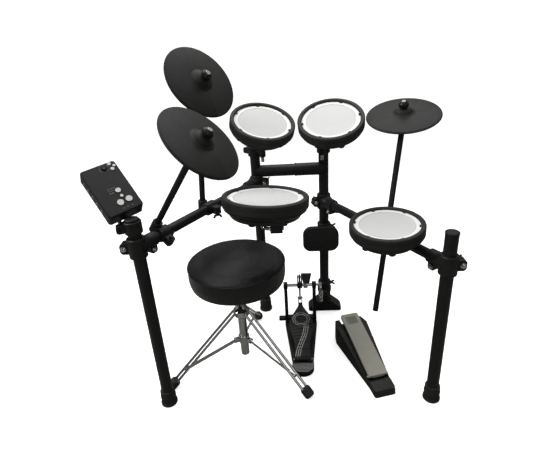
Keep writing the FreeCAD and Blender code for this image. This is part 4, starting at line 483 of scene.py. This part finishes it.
# Drum pads: a moulded bowl, a rubber rim with hooks, and a woven two-ply mesh head stretched in a white
# hoop. Each is held by a plated L rod in a holder block, with a wing screw that is bright on two of the pads.
rim_rubber = finish("rim_rubber", (0.0135, 0.0145, 0.013), (0.019, 0.020, 0.018), 0.52, 0.66, 1300, 18, 0.2,
                    gloss=0.25, dust=0.1)
mesh_share, thread_pitch = 0.737, 0.0011
bright_wings, wing_top = {"snare": 0.0165, "tom_3": 0.0145}, 0.022
dress(chrome, "l_rods")
for pad, pad_width in (("snare", 0.280), ("tom_1", 0.235), ("tom_2", 0.235), ("tom_3", 0.235)):
    place = disc_frame(pad + "_head", pad + "_tilt")
    dress(rim_rubber, pad + "_rim")

    bowl = finish(pad + "_bowl", (0.0085, 0.009, 0.0085), (0.014, 0.0145, 0.0135), 0.4, 0.55, 1000, 16, 0.15,
                  dust=0.06)
    tree = bowl.node_tree
    x, y, z = own_axes(tree, place)
    if pad in bright_wings:
        holder = place.inverted() @ Vector(joints[pad + "_tilt"]["pos_m"])
        wing = calculate(tree, "MULTIPLY", calculate(tree, "GREATER_THAN", y, holder.y + bright_wings[pad]),
                         calculate(tree, "LESS_THAN", z, holder.z + wing_top))
        inlay(bowl, wing, (0.6, 0.6, 0.58), 0.18, 1.0)
    dress(bowl, pad + "_body")

    weave = finish(pad + "_mesh", (0.60, 0.605, 0.59), (0.63, 0.635, 0.62), 0.62, 0.72, 500, 10, 0.05)
    tree = weave.node_tree
    x, y, z = own_axes(tree, place)
    wave_x = calculate(tree, "SINE", calculate(tree, "MULTIPLY", x, 2 * math.pi / thread_pitch))
    wave_y = calculate(tree, "SINE", calculate(tree, "MULTIPLY", y, 2 * math.pi / thread_pitch))
    threads = calculate(tree, "MAXIMUM", wave_x, wave_y)
    reach = radius_of(tree, x, y)
    mesh_edge = pad_width / 2 * mesh_share
    on_mesh = calculate(tree, "LESS_THAN", reach, mesh_edge)
    gaps = calculate(tree, "MULTIPLY", calculate(tree, "LESS_THAN", threads, 0.15), on_mesh)
    inlay(weave, calculate(tree, "MULTIPLY", gaps, 0.55), (0.40, 0.405, 0.39), 0.8)
    worn = stick_marks(tree, own_place(tree, place), 90, 0.2)
    middle = tree.nodes.new("ShaderNodeMapRange")
    middle.inputs["From Min"].default_value = pad_width * 0.30
    middle.inputs["From Max"].default_value = pad_width * 0.05
    tree.links.new(reach, middle.inputs["Value"])
    inlay(weave, calculate(tree, "MULTIPLY", worn, middle.outputs["Result"]), (0.44, 0.44, 0.42), 0.7)
    hoop = calculate(tree, "GREATER_THAN", reach, mesh_edge + 0.0006)
    inlay(weave, hoop, (0.80, 0.80, 0.785), 0.38)
    seam = between(tree, reach, mesh_edge - 0.0005, mesh_edge + 0.0008)
    inlay(weave, seam, (0.42, 0.42, 0.41), 0.6)
    relief = tree.nodes["relief"]
    relief.inputs["Strength"].default_value = 0.25
    relief.inputs["Distance"].default_value = 0.0003
    tree.links.new(calculate(tree, "MULTIPLY", threads, on_mesh), relief.inputs["Height"])
    dress(weave, pad + "_head")

# Sound module: a flat case of moulded black plastic, screwed to a steel plate, with a fluted dial on its
# face. The buttons are pale rubber and come up through holes in the case.
case_plastic = finish("case_plastic", (0.0065, 0.0068, 0.0065), (0.009, 0.0093, 0.009), 0.36, 0.46, 1900, 20,
                      0.1, gloss=0.16, dust=0.04)
dial_plastic = finish("dial_plastic", (0.006, 0.006, 0.006), (0.009, 0.009, 0.009), 0.4, 0.5, 1500, 60, 0.1)
button_rubber = finish("button_rubber", (0.50, 0.50, 0.48), (0.58, 0.58, 0.56), 0.5, 0.6, 900, 80, 0.08)
dress(case_plastic, "module_case")
dress(dial_plastic, "module_dial")
dress(button_rubber, *["module_button_%d" % number for number in range(1, 8)])

dial_x, dial_y, dial_radius = 0.0145, 0.072, 0.0085
module_half_width, module_half_length, module_thick = 0.055, 0.089, 0.045
face_out = -Vector(joints["volume_dial"]["axis"])
face_right = Vector(joints["module_tilt"]["axis"])
face_up = face_out.cross(face_right)
face_middle = Vector(joints["volume_dial"]["pos_m"]) - face_right * dial_x - face_up * dial_y
module_place = (Matrix.Translation(face_middle)
                @ Matrix((face_right, face_up, face_out)).transposed().to_4x4())

# Button caps: pale grey rubber, moulded with a rolled edge and a shallow dish for the finger. Each sits on
# its button's stem and goes down with it.
cap_radii = (0.0058, 0.0045, 0.0058, 0.0080, 0.0048, 0.0098, 0.0098)
cap_low, cap_high, cap_roll, cap_dish = 0.0014, 0.0030, 0.0005, 0.0003
for number, cap_radius in enumerate(cap_radii, 1):
    low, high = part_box("module_button_%d" % number)
    at = module_place.inverted() @ ((low + high) / 2)
    bpy.ops.object.select_all(action="DESELECT")
    bpy.ops.mesh.primitive_cylinder_add(vertices=40, radius=cap_radius, depth=cap_high - cap_low)
    cap = bpy.context.object
    cap.name = "button_cap_%d" % number
    bpy.ops.object.mode_set(mode="EDIT")
    pick(cap, lambda face: face.normal.z > 0.9)
    bpy.ops.mesh.bevel(offset=cap_roll, segments=3, affect="EDGES")
    pick(cap, lambda face: face.normal.z > 0.999)
    bpy.ops.mesh.inset(thickness=cap_radius * 0.35)
    bpy.ops.transform.translate(value=(0, 0, -cap_dish))
    bpy.ops.object.mode_set(mode="OBJECT")
    bpy.ops.object.shade_smooth_by_angle(angle=math.radians(35))
    cap.data.transform(module_place @ Matrix.Translation((at.x, at.y, (cap_low + cap_high) / 2)))
    cap.data.materials.append(button_rubber)
    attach(cap, "button_%d" % number)

# Jack sockets: plated rings round the five holes in the module's left side, turned with a raised lip and a
# bore, and set against the case.
socket_radius, socket_hole, socket_proud, socket_lip = 0.0052, 0.0034, 0.0014, 0.0005
socket_count, socket_first, socket_step, socket_depth = 5, 0.030, 0.026, 0.5
bpy.ops.object.select_all(action="DESELECT")
bpy.ops.mesh.primitive_cylinder_add(vertices=24, radius=socket_radius, depth=socket_proud,
                                    location=(0, 0, socket_proud / 2))
socket = bpy.context.object
bpy.ops.object.transform_apply(location=True, rotation=True, scale=True)
bpy.ops.object.mode_set(mode="EDIT")
pick(socket, lambda face: face.normal.z > 0.9)
bpy.ops.mesh.inset(thickness=socket_lip)
bpy.ops.transform.translate(value=(0, 0, 0.0004))
bpy.ops.mesh.inset(thickness=socket_radius - socket_lip - socket_hole)
bpy.ops.mesh.extrude_region_move(TRANSFORM_OT_translate={"value": (0, 0, -socket_proud)})
bpy.ops.object.mode_set(mode="OBJECT")
bpy.ops.object.shade_smooth_by_angle(angle=math.radians(35))
socket_places = []
for number in range(socket_count):
    at = Vector((-module_half_width, module_half_length - socket_first - socket_step * number,
                 -module_thick * socket_depth))
    socket_places.append(module_place @ upright_place(at, Vector((-1, 0, 0)), Vector((0, 1, 0))))
sockets = gather(socket, socket_places, "module_sockets")
sockets.data.materials.append(chrome)
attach(sockets, "module")

# Printed marks: white ticks round the dial, short lines beside the buttons and under the lowest row. They
# are thick print on the case, so each is a thin slip with its edges broken.
print_white = finish("print_white", (0.42, 0.42, 0.41), (0.5, 0.5, 0.48), 0.5, 0.6, 2000, 90, 0.02)
tick_long, tick_wide, tick_high = 0.0030, 0.0007, 0.00022
tick_count, tick_first, tick_step, tick_gap = 11, -140, 28, 0.0046
line_left, line_top, line_step_x, line_step_y, line_stretch = -0.012, -0.001, 0.0085, 0.0075, 1.5
foot_lines_x, foot_line_y, foot_stretch = (-0.0028, 0.0111, 0.0249), -0.0755, 1.8
bpy.ops.object.select_all(action="DESELECT")
bpy.ops.mesh.primitive_cube_add(size=1, location=(0, 0, 0))
tick = bpy.context.object
tick.scale = (tick_wide, tick_long, tick_high)
bpy.ops.object.transform_apply(location=True, rotation=True, scale=True)
bpy.ops.object.mode_set(mode="EDIT")
bpy.ops.mesh.select_all(action="SELECT")
bpy.ops.mesh.bevel(offset=0.00008, segments=1, affect="EDGES")
bpy.ops.object.mode_set(mode="OBJECT")
tick_places = []
for number in range(tick_count):
    turn = Matrix.Rotation(math.radians(tick_first + tick_step * number), 4, "Z")
    tick_places.append(module_place @ Matrix.Translation((dial_x, dial_y, 0)) @ turn
                       @ Matrix.Translation((0, dial_radius + tick_gap, 0)))
lying = Matrix.Rotation(math.radians(90), 4, "Z")
for row in range(3):
    for column in range(3):
        at = Vector((line_left + line_step_x * column, line_top - line_step_y * row, 0))
        tick_places.append(module_place @ Matrix.Translation(at) @ lying
                           @ Matrix.Scale(line_stretch, 4, (0, 1, 0)))
for line_x in foot_lines_x:
    tick_places.append(module_place @ Matrix.Translation((line_x, foot_line_y, 0)) @ lying
                       @ Matrix.Scale(foot_stretch, 4, (0, 1, 0)))
ticks = gather(tick, tick_places, "module_ticks")
ticks.data.materials.append(print_white)
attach(ticks, "module")

# Kick pad: a firm block of black rubber with a crease across its middle, moulded to a nylon tray. The tray
# is clamped to the right upright, where the beater meets it.
kick_rubber = finish("kick_rubber", (0.0085, 0.009, 0.0085), (0.014, 0.0145, 0.0135), 0.48, 0.62, 1200, 22,
                     0.2, dust=0.06)
dress(kick_rubber, "kick_pad_face")

# Kick pedal: cast uprights painted black, a dark strap from the footboard to the cam, and a plated rod,
# spring and hinge pins. The uprights are bolted to the base plate.
pedal_black = finish("pedal_black", (0.006, 0.006, 0.006), (0.012, 0.012, 0.0115), 0.36, 0.5, 900, 30, 0.15,
                     0.2, dust=0.08)
strap_black = finish("strap_black", (0.008, 0.008, 0.008), (0.014, 0.014, 0.0135), 0.5, 0.65, 1400, 50, 0.3)
dress(pedal_black, "kick_uprights")
dress(strap_black, "kick_link")
dress(chrome, "return_spring", "beater_rod", "pedal_pins")

# Footboard: cast alloy painted black, with a double ring and three sweeping lines left bright on its top.
# It is hinged to the heel plate and tied to the cam by the strap.
bright_alloy, alloy_rough, alloy_metal = (0.30, 0.30, 0.28), 0.42, 0.85
board_rise, line_half = math.radians(7.7), 0.0014
ring_middle, ring_radii = 0.218, (0.036, 0.027)
sweep_start, sweep_end, sweep_width, sweep_gap = 0.012, 0.184, 0.020, 0.0085
board_place = (Matrix.Translation(joints["kick_board"]["pos_m"]) @ Matrix.Rotation(board_rise, 4, "X"))
footboard = finish("footboard_black", (0.006, 0.006, 0.006), (0.012, 0.012, 0.0115), 0.38, 0.5, 900, 30,
                   0.15, 0.2, dust=0.1)
tree = footboard.node_tree
x, y, z = own_axes(tree, board_place)
on_top = calculate(tree, "GREATER_THAN", z, -0.0005)
from_ring = radius_of(tree, x, calculate(tree, "SUBTRACT", y, ring_middle))
lines = 0.0
for ring in ring_radii:
    off = calculate(tree, "ABSOLUTE", calculate(tree, "SUBTRACT", from_ring, ring))
    lines = calculate(tree, "MAXIMUM", lines, calculate(tree, "LESS_THAN", off, line_half))
sway = calculate(tree, "COSINE", calculate(tree, "MULTIPLY", y, math.pi / sweep_end))
sway = calculate(tree, "MULTIPLY", sway, -sweep_width)
for step in (-1, 0, 1):
    off = calculate(tree, "SUBTRACT", calculate(tree, "SUBTRACT", x, sway), step * sweep_gap)
    line = calculate(tree, "LESS_THAN", calculate(tree, "ABSOLUTE", off), line_half)
    line = calculate(tree, "MULTIPLY", line, between(tree, y, sweep_start, sweep_end))
    lines = calculate(tree, "MAXIMUM", lines, line)
inlay(footboard, calculate(tree, "MULTIPLY", lines, on_top), bright_alloy, alloy_rough, alloy_metal)
dress(footboard, "kick_footboard")

# Base and heel plate: cast alloy painted black, with the ribs of the heel plate rubbed back to bright metal
# by the player's shoe. The base carries the uprights and the hinge.
rib_low, rib_high, hinge_room = 0.0006, 0.0024, 0.0125
heel_top, heel_end = 0.022, Vector(joints["kick_board"]["pos_m"]).y - hinge_room
base_black = finish("base_black", (0.006, 0.006, 0.006), (0.012, 0.012, 0.0115), 0.38, 0.5, 900, 30, 0.15,
                    0.2, dust=0.1)
tree = base_black.node_tree
x, y, z = own_axes(tree, Matrix.Identity(4))
ribs = calculate(tree, "MULTIPLY", between(tree, z, heel_top + rib_low, heel_top + rib_high),
                 calculate(tree, "LESS_THAN", y, heel_end))
inlay(base_black, ribs, bright_alloy, alloy_rough, alloy_metal)
dress(base_black, "kick_base")

# Axle: a plated hexagon bar in the two uprights, with a dark cam lever clamped on its middle. The lever
# takes the strap, and the end outside the upright takes the spring.
cam_half = 0.0125
axle_place = Matrix.Translation(joints["kick_beater"]["pos_m"])
axle_steel = finish("axle_steel", (0.55, 0.55, 0.54), (0.44, 0.44, 0.42), 0.16, 0.3, 500, 40, 0.03, 1.0)
tree = axle_steel.node_tree
x, y, z = own_axes(tree, axle_place)
on_cam = calculate(tree, "LESS_THAN", calculate(tree, "ABSOLUTE", x), cam_half)
inlay(axle_steel, on_cam, (0.012, 0.012, 0.012), 0.35, 0.3)
dress(axle_steel, "kick_axle")

# Beater: a head of hard black plastic with a pale felt striking face, pinned on its plated rod and leaned
# back from the pad at rest.
beater_lean, felt_start = math.radians(50), 0.0155
beater_plastic = finish("beater_plastic", (0.009, 0.009, 0.009), (0.015, 0.015, 0.0145), 0.42, 0.55, 900, 60,
                        0.15)
tree = beater_plastic.node_tree
x, y, z = own_axes(tree, axle_place @ Matrix.Rotation(beater_lean, 4, "X"))
inlay(beater_plastic, calculate(tree, "GREATER_THAN", y, felt_start), (0.42, 0.41, 0.38), 0.95)
dress(beater_plastic, "beater_head")

# Hi-hat control pedal: a moulded black wedge with a hinged board of grey plastic, which has a darker grip
# patch near its toe, and a ribbed rubber heel block.
hat_rise, hat_long, hat_half, board_thick = math.radians(14), 0.285, 0.036, 0.010
grip_start, grip_end, grip_share = 0.0525, 0.0155, 0.63
board_hinge = joints["control_board"]
hat_right = -Vector(board_hinge["axis"])
upwards = Vector((0, 0, 1))
hat_place = (Matrix.Translation(board_hinge["pos_m"])
             @ Matrix((hat_right, upwards.cross(hat_right), upwards)).transposed().to_4x4()
             @ Matrix.Rotation(hat_rise, 4, "X"))
board_grey = finish("board_grey", (0.33, 0.32, 0.265), (0.37, 0.36, 0.305), 0.45, 0.55, 1500, 14, 0.15,
                    gloss=0.4, dust=0.1)
tree = board_grey.node_tree
x, y, z = own_axes(tree, hat_place)
patch = calculate(tree, "MULTIPLY", between(tree, y, hat_long - grip_start, hat_long - grip_end),
                  calculate(tree, "LESS_THAN", calculate(tree, "ABSOLUTE", x), hat_half * grip_share))
patch = calculate(tree, "MULTIPLY", patch, between(tree, z, board_thick - 0.002, board_thick - 0.0006))
inlay(board_grey, patch, (0.19, 0.186, 0.16), 0.7)
scuffed = stick_marks(tree, own_place(tree, hat_place), 60, 0.25)
inlay(board_grey, scuffed, (0.42, 0.41, 0.36), 0.6)
dress(board_grey, "hat_board")
dress(moulded_black, "hat_base")

# Throne frame: a chromed tube column with a cast hub, three legs of paired bars, flat braces and a post
# that slides in the column. The plate on top of the post is painted black.
dress(chrome, "throne_column", "throne_legs", "throne_braces", "throne_post")
plate_black = finish("plate_black", (0.012, 0.012, 0.012), (0.03, 0.03, 0.028), 0.4, 0.55, 700, 30, 0.1, 0.4)
dress(plate_black, "throne_seat_plate")

# Throne seat: foam under black vinyl, with a side band and a low crowned top sewn together over a welt, so
# that both swell away from the seam. It is blown up as cloth from a slightly smaller shape and hangs over
# its plate.
seat_low, seat_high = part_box("throne_seat")
seat_middle = Vector(((seat_low.x + seat_high.x) / 2, (seat_low.y + seat_high.y) / 2, 0))
seat_radius, skirt_drop, side_height, crown_height = 0.1755, 0.022, 0.075, 0.028
plate_room, hem_inset, hem_depth = 0.132, 0.016, 0.001
skirt = seat_low.z - skirt_drop
welt_height = skirt + side_height
voxel, swell_limit = 0.005, 0.0025
rings = ((0.008, 0.006), (0.002, 0.037), (0.004, 0.071), (0.004, 0.079), (0.0045, 0.083), (0.011, 0.0862),
         (0.022, 0.0875), (0.042, 0.0882), (0.058, 0.0892), (0.085, 0.096),
         (0.130, side_height + crown_height))

bpy.ops.object.select_all(action="DESELECT")
bpy.ops.mesh.primitive_cylinder_add(vertices=96, radius=seat_radius - hem_inset, depth=hem_depth,
                                    location=seat_middle + Vector((0, 0, skirt + hem_depth / 2)))
cushion = bpy.context.object
cushion.name = "seat_cushion"
bpy.ops.object.transform_apply(location=True, rotation=True, scale=True)
bpy.ops.object.mode_set(mode="EDIT")
pick(cushion, lambda face: face.normal.z > 0.9)
reach, height = seat_radius - hem_inset, skirt + hem_depth
for inset, rise in rings:
    bpy.ops.mesh.extrude_region_move(TRANSFORM_OT_translate={"value": (0, 0, skirt + rise - height)})
    share = (seat_radius - inset) / reach
    bpy.ops.transform.resize(value=(share, share, 1), center_override=seat_middle)
    reach, height = seat_radius - inset, skirt + rise
pick(cushion, lambda face: face.normal.z < -0.9)
bpy.ops.mesh.inset(thickness=seat_radius - hem_inset - plate_room)
bpy.ops.mesh.extrude_region_move(TRANSFORM_OT_translate={"value": (0, 0, skirt_drop + 0.0003)})
bpy.ops.object.mode_set(mode="OBJECT")
remesh = cushion.modifiers.new("even_foam", "REMESH")
remesh.mode = "VOXEL"
remesh.voxel_size = voxel
bpy.ops.object.modifier_apply(modifier="even_foam")

over_plate = plate_room + voxel
held = cushion.vertex_groups.new(name="held")
held.add([vertex.index for vertex in cushion.data.vertices
          if vertex.co.z < skirt + voxel or abs(vertex.co.z - welt_height) < voxel * 0.6
          or (vertex.co.xy - seat_middle.xy).length < over_plate
          and vertex.co.z < seat_low.z + voxel],
         1.0, "REPLACE")
cloth = cushion.modifiers.new("swelling", "CLOTH")
cloth.settings.use_pressure = True
cloth.settings.uniform_pressure_force = 4.0
cloth.settings.effector_weights.gravity = 0.0
cloth.settings.vertex_group_mass = "held"
cloth.settings.quality = 5
for number in range(1, 21):
    bpy.context.scene.frame_set(number)
swollen = cushion.evaluated_get(bpy.context.evaluated_depsgraph_get()).data
for vertex, moved in zip(cushion.data.vertices, swollen.vertices):
    step = moved.co - vertex.co
    if step.length > swell_limit:
        step *= swell_limit / step.length
    vertex.co += step
cushion.modifiers.remove(cloth)
bpy.context.scene.frame_set(1)
taut = cushion.modifiers.new("taut", "SMOOTH")
taut.factor = 0.5
taut.iterations = 9
bpy.ops.object.modifier_apply(modifier="taut")
finer = cushion.modifiers.new("finer", "SUBSURF")
finer.levels = finer.render_levels = 1
bpy.ops.object.modifier_apply(modifier="finer")
bpy.ops.object.shade_smooth()

seat_vinyl = finish("seat_vinyl", (0.0065, 0.0074, 0.0072), (0.0095, 0.0105, 0.0102), 0.27, 0.36, 650, 16,
                    0.2, gloss=0.3)
tree = seat_vinyl.node_tree
coordinates = tree.nodes.new("ShaderNodeTexCoord")
creases = tree.nodes.new("ShaderNodeTexVoronoi")
creases.feature = "DISTANCE_TO_EDGE"
creases.inputs["Scale"].default_value = 620
tree.links.new(coordinates.outputs["Object"], creases.inputs["Vector"])
leather = calculate(tree, "MINIMUM", calculate(tree, "MULTIPLY", creases.outputs["Distance"], 6.0), 1.0)
x, y, z = own_axes(tree, Matrix.Translation(seat_middle + Vector((0, 0, welt_height))))
near_seam = tree.nodes.new("ShaderNodeMapRange")
near_seam.inputs["From Min"].default_value = 0.022
near_seam.inputs["From Max"].default_value = 0.002
tree.links.new(calculate(tree, "ABSOLUTE", z), near_seam.inputs["Value"])
gathers = calculate(tree, "SINE", calculate(tree, "MULTIPLY", calculate(tree, "ARCTAN2", x, y), 62.0))
puckers = calculate(tree, "MULTIPLY", calculate(tree, "MULTIPLY", gathers, near_seam.outputs["Result"]), 0.8)
relief = tree.nodes["relief"]
relief.inputs["Strength"].default_value = 0.3
relief.inputs["Distance"].default_value = 0.0005
tree.links.new(calculate(tree, "ADD", leather, puckers), relief.inputs["Height"])
cushion.data.materials.append(seat_vinyl)
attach(cushion, "seat")
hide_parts("throne_seat")


# Seat piping: a cord sewn into the welt under the same vinyl, where the side band meets the top. Every
# third ring is drawn in a little, as the twist of the cord shows through.
piping_radius, piping_rings, piping_twist = 0.0026, 180, 0.0005


def drawn_in(face):
    """Whether a face of the piping lies in a ring that is drawn in."""
    out = face.calc_center_median() - seat_middle
    return round(math.atan2(out.y, out.x) * piping_rings / math.tau) % 3 == 0


seam = [(vertex.co.xy - seat_middle.xy).length for vertex in cushion.data.vertices
        if abs(vertex.co.z - welt_height) < 0.003]
bpy.ops.object.select_all(action="DESELECT")
bpy.ops.mesh.primitive_torus_add(major_radius=max(seam), minor_radius=piping_radius,
                                 major_segments=piping_rings,
                                 minor_segments=10, location=seat_middle + Vector((0, 0, welt_height)))
piping = bpy.context.object
piping.name = "seat_piping"
bpy.ops.object.transform_apply(location=True, rotation=True, scale=True)
bpy.ops.object.mode_set(mode="EDIT")
pick(piping, drawn_in)
bpy.ops.transform.shrink_fatten(value=-piping_twist)
bpy.ops.object.mode_set(mode="OBJECT")
bpy.ops.object.shade_smooth()
piping.data.materials.append(seat_vinyl)
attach(piping, "seat")
